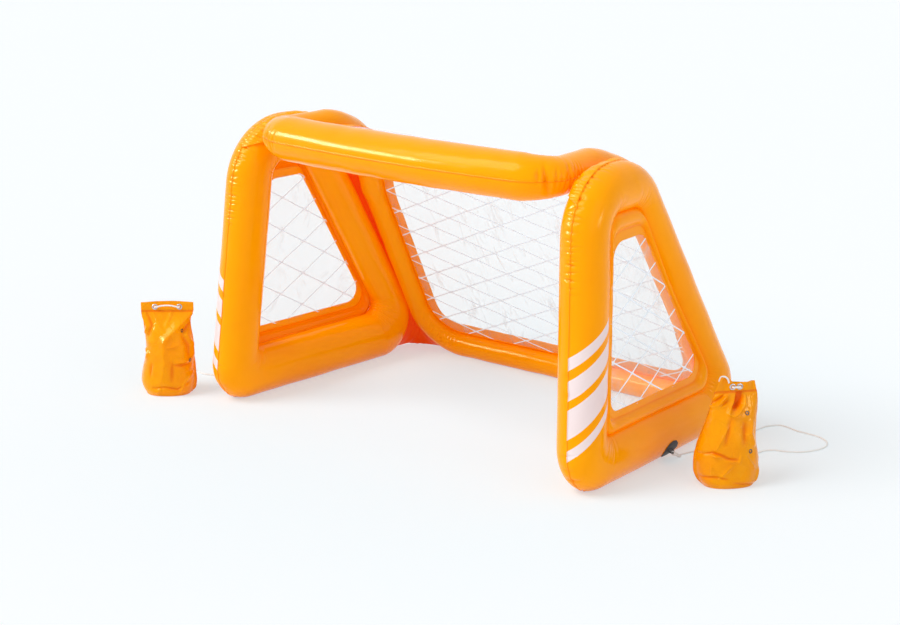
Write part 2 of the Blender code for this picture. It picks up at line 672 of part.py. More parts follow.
def valve(name, place, materials):
    """A flanged valve with a bore, and its plug on a strap, turning about the strap's root."""
    empty = bpy.data.objects.new(name + "_place", None)
    bpy.context.scene.collection.objects.link(empty)
    empty.matrix_world = place
    floor = 0.0016
    base = [
        (0, GAP), (VALVE_FLANGE_RADIUS, GAP), (VALVE_FLANGE_RADIUS - 0.0006, VALVE_FLANGE_HEIGHT),
        (VALVE_NECK_RADIUS + 0.0008, VALVE_FLANGE_HEIGHT + 0.0003),
        (VALVE_NECK_RADIUS, VALVE_NECK_HEIGHT), (VALVE_BORE_RADIUS, VALVE_NECK_HEIGHT),
        (VALVE_BORE_RADIUS, floor), (0, floor),
    ]
    add_object(
        name + "_base", mesh_from(name + "_base", *turned(base, SMALL_SIDES)), materials["vinyl"],
        empty,
    )
    root = Vector((-PLUG_ROOT_AT, 0, VALVE_FLANGE_HEIGHT + GAP + PLUG_STRAP_THICKNESS))
    under = VALVE_NECK_HEIGHT + GAP - root.z
    over = under + PLUG_CAP_THICKNESS
    tip = under - PLUG_STEM_LENGTH
    cap = [
        (0, tip), (PLUG_STEM_RADIUS, tip), (PLUG_STEM_RADIUS, under),
        (VALVE_NECK_RADIUS, under), (VALVE_NECK_RADIUS, over - 0.0004),
        (VALVE_NECK_RADIUS - 0.0006, over), (0, over),
    ]
    pivot = Matrix.Translation(root)
    points, faces = turned(cap, SMALL_SIDES)
    points = [p + Vector((PLUG_ROOT_AT, 0, 0)) for p in points]
    plug = add_object(
        name + "_plug", mesh_from(name + "_plug", points, faces), materials["vinyl"], empty, pivot
    )
    side = strap_outline(under, over)
    half = 0.5 * PLUG_STRAP_WIDTH
    rings = [[Vector((x, y, z)) for x, z in side] for y in (-half, half)]
    strap = add_object(
        name + "_strap_shape", mesh_from(name + "_strap_shape", *loft(rings)), materials["vinyl"],
        empty, pivot,
    )
    strap.hide_render = True
    strap.display_type = "WIRE"
    join = plug.modifiers.new("strap", "BOOLEAN")
    join.operation = "UNION"
    join.object = strap


def strap_outline(under, over):
    """The strap seen from the side: a root on the flange, a rise beside the neck, and the cap."""
    thin = PLUG_STRAP_THICKNESS
    rise = PLUG_ROOT_AT - VALVE_NECK_RADIUS - 0.0022
    return [
        (-0.5 * thin, -thin), (rise, -thin), (rise + thin, under + 0.0001),
        (PLUG_ROOT_AT - 0.5 * VALVE_NECK_RADIUS, under + 0.0001),
        (PLUG_ROOT_AT - 0.5 * VALVE_NECK_RADIUS, under + thin),
        (rise, under + thin), (rise - thin, thin), (-0.5 * thin, thin),
    ]


def tie_patch(frame, name, materials):
    """An oval patch that follows the foot tube, with a moulded loop standing on it."""
    rings, turn = 3, frame.side
    points = []
    for lift in (PATCH_LIFT, PATCH_LIFT + PATCH_THICKNESS):
        points.append(frame.foot_section(PATCH_U, PATCH_ANGLE, lift))
        for ring in range(1, rings + 1):
            reach = ring / rings
            edge = min(lift, PATCH_LIFT + 0.4 * PATCH_THICKNESS) if ring == rings else lift
            for k in range(SMALL_SIDES):
                a = 2 * math.pi * k / SMALL_SIDES
                u = PATCH_U + PATCH_HALF_LENGTH * reach * math.cos(a)
                arc = PATCH_HALF_HEIGHT * reach * math.sin(a) / (0.5 * FRAME_THICKNESS)
                points.append(frame.foot_section(u, PATCH_ANGLE + turn * arc, edge))
    faces, layer = [], 1 + rings * SMALL_SIDES
    for side in (0, layer):
        for k in range(SMALL_SIDES):
            n = (k + 1) % SMALL_SIDES
            faces.append((side, side + 1 + k, side + 1 + n))
            for ring in range(rings - 1):
                low = side + 1 + ring * SMALL_SIDES
                faces.append((low + k, low + SMALL_SIDES + k, low + SMALL_SIDES + n, low + n))
    rim = 1 + (rings - 1) * SMALL_SIDES
    for k in range(SMALL_SIDES):
        n = (k + 1) % SMALL_SIDES
        faces.append((rim + k, rim + n, layer + rim + n, layer + rim + k))
    add_object(name + "_tie_patch", mesh_from(name + "_tie_patch", points, faces), materials["black"])
    seat = frame.foot_section(PATCH_U, PATCH_ANGLE, PATCH_LIFT + PATCH_THICKNESS + GAP)
    place = look_along(seat, frame.foot_normal(PATCH_ANGLE), frame.along)
    arch = []
    for k in range(9):
        a = math.pi * k / 8
        centre = Vector((LOOP_RADIUS * math.cos(a), 0, LOOP_FOOT + LOOP_RADIUS * math.sin(a)))
        ring = []
        for j in range(8):
            b = 2 * math.pi * j / 8
            swell = LOOP_WIRE * math.cos(b)
            offset = (swell * math.cos(a), LOOP_WIRE * math.sin(b), swell * math.sin(a))
            ring.append(centre + Vector(offset))
        arch.append(ring)
    add_object(
        name + "_tie_loop", mesh_from(name + "_tie_loop", *loft(arch)), materials["black"],
        matrix=place,
    )
    return place


def hitch_and_knot(name, place, start, materials):
    """The cord's turn round the tie loop, and the knot below it."""
    wire = 0.5 * CORD_DIAMETER * 0.85
    sections = []
    under = LOOP_FOOT + LOOP_RADIUS - LOOP_WIRE - wire - 2 * GAP
    centre = Vector((0, 0, under + HITCH_RADIUS))
    for k in range(16):
        a = 2 * math.pi * k / 16
        middle = centre + Vector((0, HITCH_RADIUS * math.cos(a), HITCH_RADIUS * math.sin(a)))
        ring = []
        for j in range(8):
            b = 2 * math.pi * j / 8
            swell = wire * math.cos(b)
            ring.append(
                middle + Vector((wire * math.sin(b), swell * math.cos(a), swell * math.sin(a)))
            )
        sections.append(ring)
    add_object(
        name + "_cord_hitch", mesh_from(name + "_cord_hitch", *loft(sections, around=True)),
        materials["cord"], matrix=place,
    )
    rings = []
    for height, width in ((-1.0, 0.35), (-0.6, 0.86), (0.0, 1.0), (0.6, 0.86), (1.0, 0.35)):
        rings.append([
            Vector((KNOT_RADIUS * width * math.cos(2 * math.pi * k / 10),
                    KNOT_RADIUS * width * math.sin(2 * math.pi * k / 10), KNOT_RADIUS * height))
            for k in range(10)
        ])
    add_object(
        name + "_cord_knot", mesh_from(name + "_cord_knot", *loft(rings)), materials["cord"],
        matrix=Matrix.Translation(start),
    )


def smooth_route(points, count):
    """Evenly spaced points on a smooth curve through the given ones."""
    p = np.array(points, float)
    p = np.vstack([2 * p[0] - p[1], p, 2 * p[-1] - p[-2]])
    fine = []
    for i in range(1, len(p) - 2):
        for t in np.linspace(0, 1, 12, endpoint=False):
            a, b, c, d = p[i - 1 : i + 3]
            fine.append(
                0.5 * (2 * b + (c - a) * t + (2 * a - 5 * b + 4 * c - d) * t**2
                       + (3 * b - a - 3 * c + d) * t**3)
            )
    fine = np.array(fine + [p[-2]])
    run = np.concatenate([[0], np.cumsum(np.linalg.norm(np.diff(fine, axis=0), axis=1))])
    at = np.linspace(0, run[-1], count)
    route = np.stack([np.interp(at, run, fine[:, k]) for k in range(3)], axis=1)
    route[:, 2] = np.maximum(route[:, 2], CORD_LIFT)
    return route


def cord(name, points, material, count=CORD_POINTS):
    """A round cord through the points, as a curve with filled ends."""
    curve = bpy.data.curves.new(name, "CURVE")
    curve.dimensions = "3D"
    curve.bevel_depth = 0.5 * CORD_DIAMETER
    curve.bevel_resolution = 2
    curve.use_fill_caps = True
    route = smooth_route(points, count)
    spline = curve.splines.new("POLY")
    spline.points.add(len(route) - 1)
    for point, at in zip(spline.points, route):
        point.co = (*at, 1.0)
    curve.materials.append(material)
    piece = bpy.data.objects.new(name, curve)
    bpy.context.scene.collection.objects.link(piece)
    return piece


def bag_point(name, angle, height):
    """A point on a filled bag's skin, at an angle round it and a share of its height."""
    wide = float(np.interp(height, BAG_SHARES, BAG_WIDTHS[name])) * BAG_HALF_WIDTH
    deep = float(np.interp(height, BAG_SHARES, BAG_DEPTHS)) * BAG_HALF_DEPTH
    c, s = math.cos(angle), math.sin(angle)
    power = 0.85
    return Vector((
        bag_lean(name, height) + wide * math.copysign(abs(c) ** power, c),
        deep * math.copysign(abs(s) ** power, s), height * BAG_HEIGHT,
    ))


def bag_lean(name, height):
    return float(np.interp(height, BAG_SHARES, BAG_LEANS[name])) * BAG_HALF_WIDTH


def bag_sections(name):
    angles = [2 * math.pi * k / BAG_SIDES for k in range(BAG_SIDES)]
    return [[bag_point(name, a, h) for a in angles] for h in BAG_SHARES]


def bag_place(name):
    matrix = Matrix.Rotation(BAG_TURNS[name], 4, "Z")
    matrix.translation = Vector((*BAG_STANDS[name], 0))
    return matrix


def middle_of_all():
    """Midway between the bags' outermost points, and between the left bag and the back valve."""
    left, right = (
        [bag_place(name) @ p for section in bag_sections(name) for p in section]
        for name in ("left", "right")
    )
    across = 0.5 * (min(p.x for p in left) + max(p.x for p in right))
    return Vector((across, 0.5 * (min(p.y for p in left) + BACK_REACH), 0))


def bag(name, materials):
    """A filled bag: body, hem, grommets through the hem, drain eyelets and the front lacing."""
    place = bag_place(name)
    body = mesh_from(name + "_bag_body", *loft(bag_sections(name)))
    add_object(name + "_bag_body", body, materials["vinyl"], matrix=place)
    low = BAG_HEIGHT + GAP
    wide, deep, lean = BAG_WIDTHS[name][-1] * BAG_HALF_WIDTH, 0.5 * HEM_DEPTH, bag_lean(name, 1.0)
    outline = [(-wide, -0.4 * deep), (-0.9 * wide, -deep), (0, -deep), (0.9 * wide, -deep),
               (wide, -0.4 * deep), (wide, 0.4 * deep), (0.9 * wide, deep), (0, deep),
               (-0.9 * wide, deep), (-wide, 0.4 * deep)]
    rings = [[Vector((lean + x, y, low)) for x, y in outline]]
    rings.append([
        Vector((lean + x, y, low + HEM_HEIGHT + HEM_PEAK[name] * max(-x / wide, 0)))
        for x, y in outline
    ])
    add_object(name + "_bag_hem", mesh_from(name + "_bag_hem", *loft(rings)), materials["vinyl"],
               matrix=place)
    middle = low + 0.5 * HEM_HEIGHT
    eyelet = mesh_from(
        name + "_grommet", *washer(GROMMET_RADIUS, GROMMET_HOLE, GROMMET_THICKNESS, SMALL_SIDES)
    )
    eyelet.materials.append(materials["metal"])
    eyelet.shade_smooth()
    eyelet.set_sharp_from_angle(angle=math.radians(40))
    for face, ahead in (("front", -1), ("back", 1)):
        for hand, across in (("left", -1), ("right", 1)):
            at = lean + across * GROMMET_HALF_SPACING[name]
            seat = Vector((at, ahead * (deep + GAP), middle))
            local = look_along(seat, Vector((0, ahead, 0)), Vector((1, 0, 0)))
            grommet = bpy.data.objects.new(f"{name}_{face}_grommet_{hand}", eyelet)
            bpy.context.scene.collection.objects.link(grommet)
            grommet.matrix_local = place @ local
    for which, (angle, height) in DRAINS[name].items():
        point = bag_point(name, angle, height)
        across = bag_point(name, angle + 0.05, height) - bag_point(name, angle - 0.05, height)
        rise = bag_point(name, angle, height + 0.02) - bag_point(name, angle, height - 0.02)
        normal = across.cross(rise).normalized()
        local = look_along(point + normal * 3 * GAP, normal, across)
        disc = mesh_from(
            f"{name}_drain_eyelet_{which}",
            *washer(DRAIN_RADIUS, DRAIN_HOLE, GROMMET_THICKNESS, SMALL_SIDES),
        )
        add_object(f"{name}_drain_eyelet_{which}", disc, materials["dark"], matrix=place @ local)
    lacing_front(name, middle, deep, materials)


def lacing_front(name, middle, deep, materials):
    """The cord's bight across the front of the hem, from one grommet to the other."""
    near = deep + GAP + GROMMET_THICKNESS
    reach, lean = GROMMET_HALF_SPACING[name], bag_lean(name, 1.0)
    half = [(1.0, GAP, 0.0), (0.97, 0.004, 0.011), (0.75, 0.0055, 0.078), (0.4, 0.0060, 0.153)]
    shape = [(-x, y, z) for x, y, z in half] + [(0.0, 0.0062, 0.18)] + half[::-1]
    points = [(lean + x * reach, -(near + y), middle + z * reach) for x, y, z in shape]
    cord(f"{name}_bag_lacing", [bag_place(name) @ Vector(p) for p in points], materials["cord"], 24)


def cord_up_the_bag(name, route):
    """Adds the last points of a free cord, up the back of its bag to the back grommet."""
    middle = BAG_HEIGHT + GAP + 0.5 * HEM_HEIGHT
    back = 0.5 * HEM_DEPTH + GAP + GROMMET_THICKNESS
    depth = BAG_HALF_DEPTH + 0.5 * CORD_DIAMETER
    reach = GROMMET_HALF_SPACING[name]
    climb = [
        (0.05, depth + 0.011, 0.046), (0.14, depth + 0.003, 0.172), (0.28, depth + 0.001, 0.344),
        (0.44, depth - 0.004, 0.534), (0.61, depth - 0.018, 0.706), (0.78, 0.6 * depth, 0.859),
        (0.92, 0.3 * depth, 0.973),
    ]
    local = [(0.0, depth + 0.030, CORD_LIFT)]
    local += [(bag_lean(name, h) + x * reach, y, h * BAG_HEIGHT) for x, y, h in climb]
    at = bag_lean(name, 1.0) + reach
    local += [(at, back + 0.008, middle - 0.001), (at, back + GAP, middle)]
    return route + [tuple(bag_place(name) @ Vector(p)) for p in local]


def build():
    clear_scene()
    materials = {
        "orange": make_material("orange_vinyl", ORANGE, 0.28),
        "web": make_material("red_orange_vinyl", RED_ORANGE, 0.40),
        "film": make_material("clear_film", FILM, 0.10, alpha=0.25),
        "vinyl": make_material("valve_and_bag_vinyl", ORANGE, 0.35),
        "cord": make_material("white_cord", CORD_WHITE, 0.80),
        "black": make_material("black_rubber", BLACK, 0.50),
        "metal": make_material("plated_eyelet", METAL, 0.30, 1.0),
        "dark": make_material("dark_eyelet", DARK_METAL, 0.40, 1.0),
    }
    ring = Ring()
    add_object("over_ring", mesh_from("over_ring", *ring.tube(), cut_floor=True), materials["orange"])
    add_object("back_window_border", mesh_from("back_window_border", *ring.border()), materials["orange"])
    add_object("back_window", mesh_from("back_window", *ring.film()), materials["film"], smooth=False)
    ring_seat = ring.place(RING_VALVE_X, ring.foot_at, 0.5 * RING_FOOT_DIAMETER)
    ring_normal = ring.place(0, ring.foot_at, 1.0) - ring.place(0, ring.foot_at, 0.0)
    valve("back_valve", look_along(ring_seat, ring_normal, Vector((1, 0, 0))), materials)
    for name, side, route in (("right", 1, RIGHT_CORD), ("left", -1, LEFT_CORD)):
        frame = SideFrame(side)
        for part, shape, finish, cut in (
            ("side_frame", frame.tube(), "orange", True),
            ("window_border", frame.border(), "orange", False),
            ("window", frame.film(), "film", False),
            ("top_web", top_web(frame, ring), "web", False),
            ("corner_web", corner_web(frame, ring), "web", False),
        ):
            full = f"{name}_{part}"
            add_object(full, mesh_from(full, *shape, cut_floor=cut), materials[finish])
        bend = FRAME_STEPS[0] + ARC_STEPS + 1
        middle = 0.5 * (frame.outer[bend] + frame.inner[bend])
        seat = frame.place(*middle, frame.bulge_out[bend] + 2 * GAP)
        valve(f"{name}_valve", look_along(seat, frame.out, frame.along), materials)
        loop = tie_patch(frame, name, materials)
        bag(name, materials)
        start, after = Vector(route[0]), Vector(route[1])
        knot = start + (start - after).normalized() * (KNOT_RADIUS + GAP)
        knot.z = KNOT_RADIUS + GAP
        hitch_and_knot(name, loop, knot, materials)
        cord(f"{name}_cord", cord_up_the_bag(name, route), materials["cord"])
    middle = middle_of_all()
    for piece in bpy.context.scene.collection.objects:
        if piece.parent is None:
            piece.location -= middle


build()
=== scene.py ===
"""The looks of the inflatable pool goal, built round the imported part: inflated vinyl tubes with welded
seams, clear windows printed with a net, corner webs, tie patches, weight bags and their cords."""

import math

import bmesh
import bpy
import numpy as np
from mathutils import Matrix, Vector


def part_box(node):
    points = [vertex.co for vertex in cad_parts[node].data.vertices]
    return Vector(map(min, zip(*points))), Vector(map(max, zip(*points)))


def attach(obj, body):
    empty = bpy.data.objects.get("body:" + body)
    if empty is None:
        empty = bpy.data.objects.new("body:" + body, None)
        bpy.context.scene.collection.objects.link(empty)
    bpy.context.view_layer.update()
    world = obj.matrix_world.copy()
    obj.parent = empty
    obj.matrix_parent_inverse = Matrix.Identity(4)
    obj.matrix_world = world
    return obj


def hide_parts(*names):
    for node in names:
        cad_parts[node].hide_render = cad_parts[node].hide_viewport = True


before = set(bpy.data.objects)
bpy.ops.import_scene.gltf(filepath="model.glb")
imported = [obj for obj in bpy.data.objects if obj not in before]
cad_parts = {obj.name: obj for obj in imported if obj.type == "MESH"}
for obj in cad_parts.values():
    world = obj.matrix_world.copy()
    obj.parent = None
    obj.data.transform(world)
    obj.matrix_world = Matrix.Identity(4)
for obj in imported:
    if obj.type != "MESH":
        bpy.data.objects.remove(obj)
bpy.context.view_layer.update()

GOAL = "goal"
WORK = bpy.context.scene.collection

# Camera

LENS, SENSOR = 84.06, 36.0
CAMERA_AT = (3.4987, -4.3811, 1.8333)
CAMERA_AZIMUTH, CAMERA_DOWN = 39.45, 15.33


def new_object(name, data, **settings):
    obj = bpy.data.objects.new(name, data)
    WORK.objects.link(obj)
    for key, value in settings.items():
        setattr(obj, key, value)
    return obj


def make_camera():
    data = bpy.data.cameras.new("photo_view")
    data.lens, data.sensor_width = LENS, SENSOR
    turn = [math.radians(a) for a in (90 - CAMERA_DOWN, 0, CAMERA_AZIMUTH)]
    bpy.context.scene.camera = new_object("photo_view", data, location=CAMERA_AT, rotation_euler=turn)


make_camera()

# Sizes in metres and radians, as in the part

GAP = 0.0003
FRAME_DEPTH, FRAME_HEIGHT, POST_LEAN, TOP_BACK = 0.885, 0.815, 0.071, 0.368
FRAME_WIDTHS, FRAME_THICKNESS = (0.143, 0.108, 0.130, 0.131), 0.123
LEG_BULGE_OUT, LEG_BULGE_IN = 0.054, 0.037
FRAME_RADII, FRAME_INNER_RADII = (0.105, 0.120, 0.180, 0.190), (0.022, 0.030, 0.040, 0.045)
HALF_SPAN, SPLAY, LEAN, FLOOR_FLAT = 0.621, math.radians(2.86), math.radians(3.23), 0.002
WINDOW_BORDERS, WINDOW_SET_OUT = (0.045, 0.014, 0.066, 0.022), 0.028
WINDOW_RADII = (0.030, 0.038, 0.038, 0.050)
FILM_THICKNESS, BORDER_THICKNESS, FILM_LAP = 0.0006, 0.001, 0.006
FOOT_AHEAD, SHOULDER_BEHIND, ROOF_BELOW_SEAM, SHOULDER_RADIUS = 0.035, 0.0827, 0.038, 0.25
RING_FOOT_Y, ROOF_HEIGHT = FRAME_DEPTH - FOOT_AHEAD, FRAME_HEIGHT - ROOF_BELOW_SEAM
RING_SLOPE = math.atan2(RING_FOOT_Y - TOP_BACK - SHOULDER_BEHIND, ROOF_HEIGHT)
CROSSBAR_Y, CROSSBAR_BOW, CROSSBAR_DIAMETER, CROSSBAR_OVERHANG = 0.107, 0.0285, 0.122, 0.015
ARM_DIAMETER, ARM_CLEARANCE, LEG_DIAMETER, LEG_FLARE = 0.098, 0.0126, 0.062, 0.065
LEG_TUCK, LEG_TOP_BELOW_BEND = 0.0075, 0.117
RING_FOOT_DIAMETER, RING_FOOT_RADIUS, RING_FRONT_RADIUS = 0.072, 0.165, 0.110
RING_BORDER, RING_FILM_SET_BACK, RING_FILM_LAP = 0.040, 0.010, 0.033
TOP_WEB_ARC, TOP_WEB_LIFT, TOP_WEB_FOOT, TOP_WEB_TAPER = math.radians(56.0), 0.0024, 0.735, 0.050
WEB_BELOW_SEAM, WEB_BULGE, WEB_CORNER_AHEAD, WEB_THICKNESS = 0.125, 0.009, 0.050, 0.001
PATCH_U, PATCH_ANGLE, PATCH_THICKNESS, PATCH_LIFT = 0.420, math.radians(52.0), 0.0016, 0.0006
LOOP_RADIUS, LOOP_WIRE, LOOP_FOOT = 0.0095, 0.0019, 0.0006
KNOT_RADIUS, KNOT_WIRE = 0.0062, 0.0020
BAG_HALF_WIDTH, BAG_HALF_DEPTH, BAG_HEIGHT, HEM_HEIGHT, HEM_DEPTH = 0.078, 0.060, 0.242, 0.024, 0.0070
GROMMET_RADIUS, GROMMET_HOLE, GROMMET_THICKNESS = 0.0085, 0.0045, 0.0012
GROMMET_HALF_SPACING = {"left": 0.035, "right": 0.0093}
DRAIN_RADIUS, DRAIN_HOLE = 0.0056, 0.0030
BAG_STANDS = {"left": (-0.807, 0.005), "right": (0.8535, 0.371)}
BAG_TURNS = {"left": math.radians(40.0), "right": math.radians(50.0)}
BAG_SHARES = (0.0, 0.04, 0.15, 0.28, 0.42, 0.52, 0.62, 0.72, 0.80, 0.89, 0.95, 1.0)
BAG_DEPTHS = (0.80, 0.95, 0.98, 1.0, 0.95, 0.90, 0.79, 0.64, 0.49, 0.27, 0.15, 0.05)
BAG_WIDTHS = {
    "left": (0.795, 0.890, 0.972, 0.942, 0.891, 0.869, 0.857, 0.848, 0.840, 0.842, 0.895, 0.964),
    "right": (0.82, 0.925, 1.055, 1.039, 0.981, 0.902, 0.860, 0.829, 0.797, 0.756, 0.724, 0.698),
}
BAG_LEANS = {
    "left": (-0.049, -0.060, -0.071, -0.055, 0.010, 0.039, 0.033, 0.004, -0.031, -0.051, -0.047, -0.022),
    "right": (0.029, 0.009, -0.011, -0.035, -0.054, -0.014, 0.040, 0.091, 0.140, 0.181, 0.198, 0.209),
}
# Angle round the bag and share of its height
DRAINS = {
    "left": {"upper": (-0.92, 0.78), "lower": (-0.54, 0.43)},
    "right": {"upper": (-1.165, 0.79), "lower": (-0.96, 0.40)},
}
CORD_DIAMETER, KNOT_HEIGHT = 0.0046, 0.0055
CORD_LIFT = 0.5 * CORD_DIAMETER + 0.0004
# Space between the rows of the free cords, of the lacing and the drawcord, and of the hitches
CORD_STEP, STRAND_STEP, HITCH_STEP = 0.003, 0.0015, 0.0012
# The middle of the whole object, seen from the mouth's middle, where every piece is built
MIDDLE = np.array([0.020995, 0.403534, 0.0])
SIDES = {"left": -1, "right": 1}

# Places (x, y) of each free cord on the floor, from its knot to the back of its bag
CORD_ROUTES = {
    "right": [
        (0.656, 0.455), (0.651, 0.468), (0.656, 0.490), (0.668, 0.530), (0.678, 0.590), (0.687, 0.650),
        (0.694, 0.712), (0.698, 0.770), (0.703, 0.818), (0.725, 0.848), (0.757, 0.846), (0.788, 0.836),
        (0.825, 0.834), (0.862, 0.828), (0.896, 0.806), (0.913, 0.770), (0.908, 0.728), (0.886, 0.690),
        (0.854, 0.668), (0.820, 0.655), (0.802, 0.628), (0.806, 0.585), (0.820, 0.535),
    ],
    "left": [
        (-0.656, 0.400), (-0.664, 0.386), (-0.686, 0.352), (-0.720, 0.304), (-0.756, 0.258), (-0.786, 0.222),
        (-0.814, 0.194), (-0.850, 0.181), (-0.892, 0.190), (-0.940, 0.220), (-0.994, 0.258), (-1.048, 0.292),
        (-1.100, 0.316), (-1.142, 0.314), (-1.156, 0.282), (-1.132, 0.244), (-1.082, 0.208), (-1.024, 0.172),
        (-0.970, 0.138),
    ],
}

# Shader expressions


def linear(red, green, blue):
    """A colour given in display values from 0 to 255, as the shader takes it."""
    shares = [v / 255 for v in (red, green, blue)]
    return (*[v / 12.92 if v <= 0.04045 else ((v + 0.055) / 1.055) ** 2.4 for v in shares], 1.0)


def operator(operation):
    return lambda value, other: value.math(operation, other)


class Value:
    """A shader socket whose operators add Math nodes."""

    def __init__(self, finish, socket):
        self.finish, self.socket = finish, socket

    def math(self, operation, *others):
        inputs = dict(enumerate((self, *others)))
        return self.finish.node("ShaderNodeMath", {"operation": operation}, inputs)

    __add__ = __radd__ = operator("ADD")
    __mul__ = __rmul__ = operator("MULTIPLY")
    __sub__, __truediv__ = operator("SUBTRACT"), operator("DIVIDE")
    __gt__, __lt__ = operator("GREATER_THAN"), operator("LESS_THAN")

    def __rsub__(self, other):
        return self * -1 + other

    def step(self, low, high):
        """0 below low, 1 above high and smooth between."""
        settings = {"interpolation_type": "SMOOTHSTEP", "clamp": True}
        inputs = {"Value": self, "From Min": low, "From Max": high}
        return self.finish.node("ShaderNodeMapRange", settings, inputs)


class Finish:
    """The nodes of a material, or of another owner, up to its last one."""

    def __init__(self, name, owner=None, last="Principled BSDF", **constants):
        self.owner = owner or bpy.data.materials.new(name)
        self.owner.use_nodes = True
        self.tree = self.owner.node_tree
        self.last = self.tree.nodes[last]
        for key, value in constants.items():
            self.set(key.replace("_", " "), value)

    def feed(self, socket, value):
        if isinstance(value, Value):
            self.tree.links.new(value.socket, socket)
        else:
            socket.default_value = value

    def set(self, name, value):
        self.feed(self.last.inputs[name], value)

    def node(self, kind, settings=None, inputs=None, output=0):
        node = self.tree.nodes.new(kind)
        for key, value in (settings or {}).items():
            setattr(node, key, value)
        for key, value in (inputs or {}).items():
            self.feed(node.inputs[key], value)
        return Value(self, node.outputs[output])

    def place(self):
        return self.node("ShaderNodeTexCoord", output="Object")

    def attribute(self, name):
        return self.node("ShaderNodeAttribute", {"attribute_name": name}, output="Fac")

    def print_at(self):
        """The two coordinates of the print at a point."""
        at = self.node("ShaderNodeUVMap", {"uv_map": "print"})
        split = self.node("ShaderNodeSeparateXYZ", inputs={0: at})
        return split, Value(self, split.socket.node.outputs[1])

    def noise(self, scale, detail=2.0, roughness=0.5, stretch=None, distortion=0.0):
        where = self.place()
        if stretch:
            where = self.node("ShaderNodeVectorMath", {"operation": "MULTIPLY"}, {0: where, 1: stretch})
        inputs = {"Vector": where, "Scale": scale, "Detail": detail, "Roughness": roughness}
        return self.node("ShaderNodeTexNoise", inputs={**inputs, "Distortion": distortion})

    def cells(self, scale, wide):
        """0 along the edges of cells, like the creases of a crumpled sheet."""
        inputs = {"Vector": self.place(), "Scale": scale}
        return self.node("ShaderNodeTexVoronoi", {"feature": "DISTANCE_TO_EDGE"}, inputs).step(0.0, wide)

    def mix(self, share, first, second):
        inputs = {"Factor": share, 6: first, 7: second}
        return self.node("ShaderNodeMix", {"data_type": "RGBA", "clamp_factor": True}, inputs, output=2)

    def bump(self, height, distance, strength):
        inputs = {"Height": height, "Distance": distance, "Strength": strength}
        self.set("Normal", self.node("ShaderNodeBump", inputs=inputs))

    def seen(self):
        """1 where the camera looks, straight, in a reflection or through film."""
        value = self.node("ShaderNodeLightPath", output="Is Camera Ray")
        outputs = value.socket.node.outputs
        for name in ("Is Glossy Ray", "Is Transmission Ray"):
            value = value.math("MAXIMUM", Value(self, outputs[name]))
        return value


# Finishes

ORANGE, DEEP_ORANGE = linear(255, 167, 0), linear(244, 120, 0)
# Colours of a faint painted glow that lifts the vinyl's shade, as if light came through it
ORANGE_PAINTED_GLOW, DEEP_PAINTED_GLOW = linear(255, 104, 0), linear(255, 80, 0)
GLOSS = {"IOR": 1.42, "Specular_Tint": (1.0, 0.66, 0.28, 1.0)}
# Pale bands, and their deeper colour along the seams and creases: wear at the weld and painted shade in the
# creases
BAND_WHITE, BAND_WEAR_AND_CREASE_SHADE = linear(232, 226, 228), linear(205, 190, 180)
# Lower and upper edges of the pale bands, as heights on the post at the seam, and their rise
STRIPES = ((0.329, 0.361), (0.2525, 0.303), (0.155, 0.230), (0.0995, 0.127))
STRIPE_RISE = 0.55
# The net's line is this wide, and wider by the second number where two lines cross
NET_LINE, NET_KNOT = 0.0019, 0.0013


def inflated_vinyl(name, striped=False):
    """Glossy vinyl, a little deeper in colour along its welded seams, with painted shade in its creases and a
    faint painted glow.
    """
    f = Finish(name, Specular_IOR_Level=0.32, Emission_Strength=0.12, **GLOSS)
    # The seam value is 1 on the weld line and rises with the creases' depth, so the creases get painted shade
    seam = f.attribute("seam")
    shade = (f.noise(6.0, 3.0) - 0.45) * 0.45 + seam * 0.50
    colour = f.mix(shade, ORANGE, DEEP_ORANGE)
    if striped:
        run = f.attribute("stripe_run")
        band = sum((run > low) * (run < high) for low, high in STRIPES)
        band = band * f.attribute("stripe_sheet").step(0.45, 0.55)
        # The bands deepen along the seam value: wear at the weld line and painted shade in the creases
        colour = f.mix(band, colour, f.mix(seam * 0.5, BAND_WHITE, BAND_WEAR_AND_CREASE_SHADE))
    f.set("Base Color", colour)
    # Painted glow: the emission lifts the shade, deeper in the same places as the colour
    f.set("Emission Color", f.mix(shade, ORANGE_PAINTED_GLOW, DEEP_PAINTED_GLOW))
    f.set("Roughness", 0.12 + f.noise(26.0, 4.0, 0.6, stretch=(1.0, 1.0, 2.2)) * 0.10 + seam * 0.08)
    f.bump(f.noise(1400.0) * 0.25 + f.noise(46.0, 3.0) * 0.75, 0.0006, 0.22)
    return f.owner


def single_sheet_vinyl(name, colour, deep):
    """Thin single-ply vinyl, duller than the tubes, with soft crumples, painted shade along its creases and a
    faint painted glow.
    """
    f = Finish(name, Specular_IOR_Level=0.42, Emission_Strength=0.16, **GLOSS)
    creases, clouds = f.cells(34.0, 0.10), f.noise(14.0, 4.0, 0.6)
    # Random tone with painted shade along the creases; the emission repeats this tone as a painted glow
    tone = f.mix(clouds * 0.8 + (1 - creases) * 0.25, colour, deep)
    for name in ("Base Color", "Emission Color"):
        f.set(name, tone)
    f.set("Roughness", 0.20 + clouds * 0.18)
    f.bump(creases * 0.4 + f.noise(60.0, 3.0) * 0.6, 0.0014, 0.45)
    return f.owner


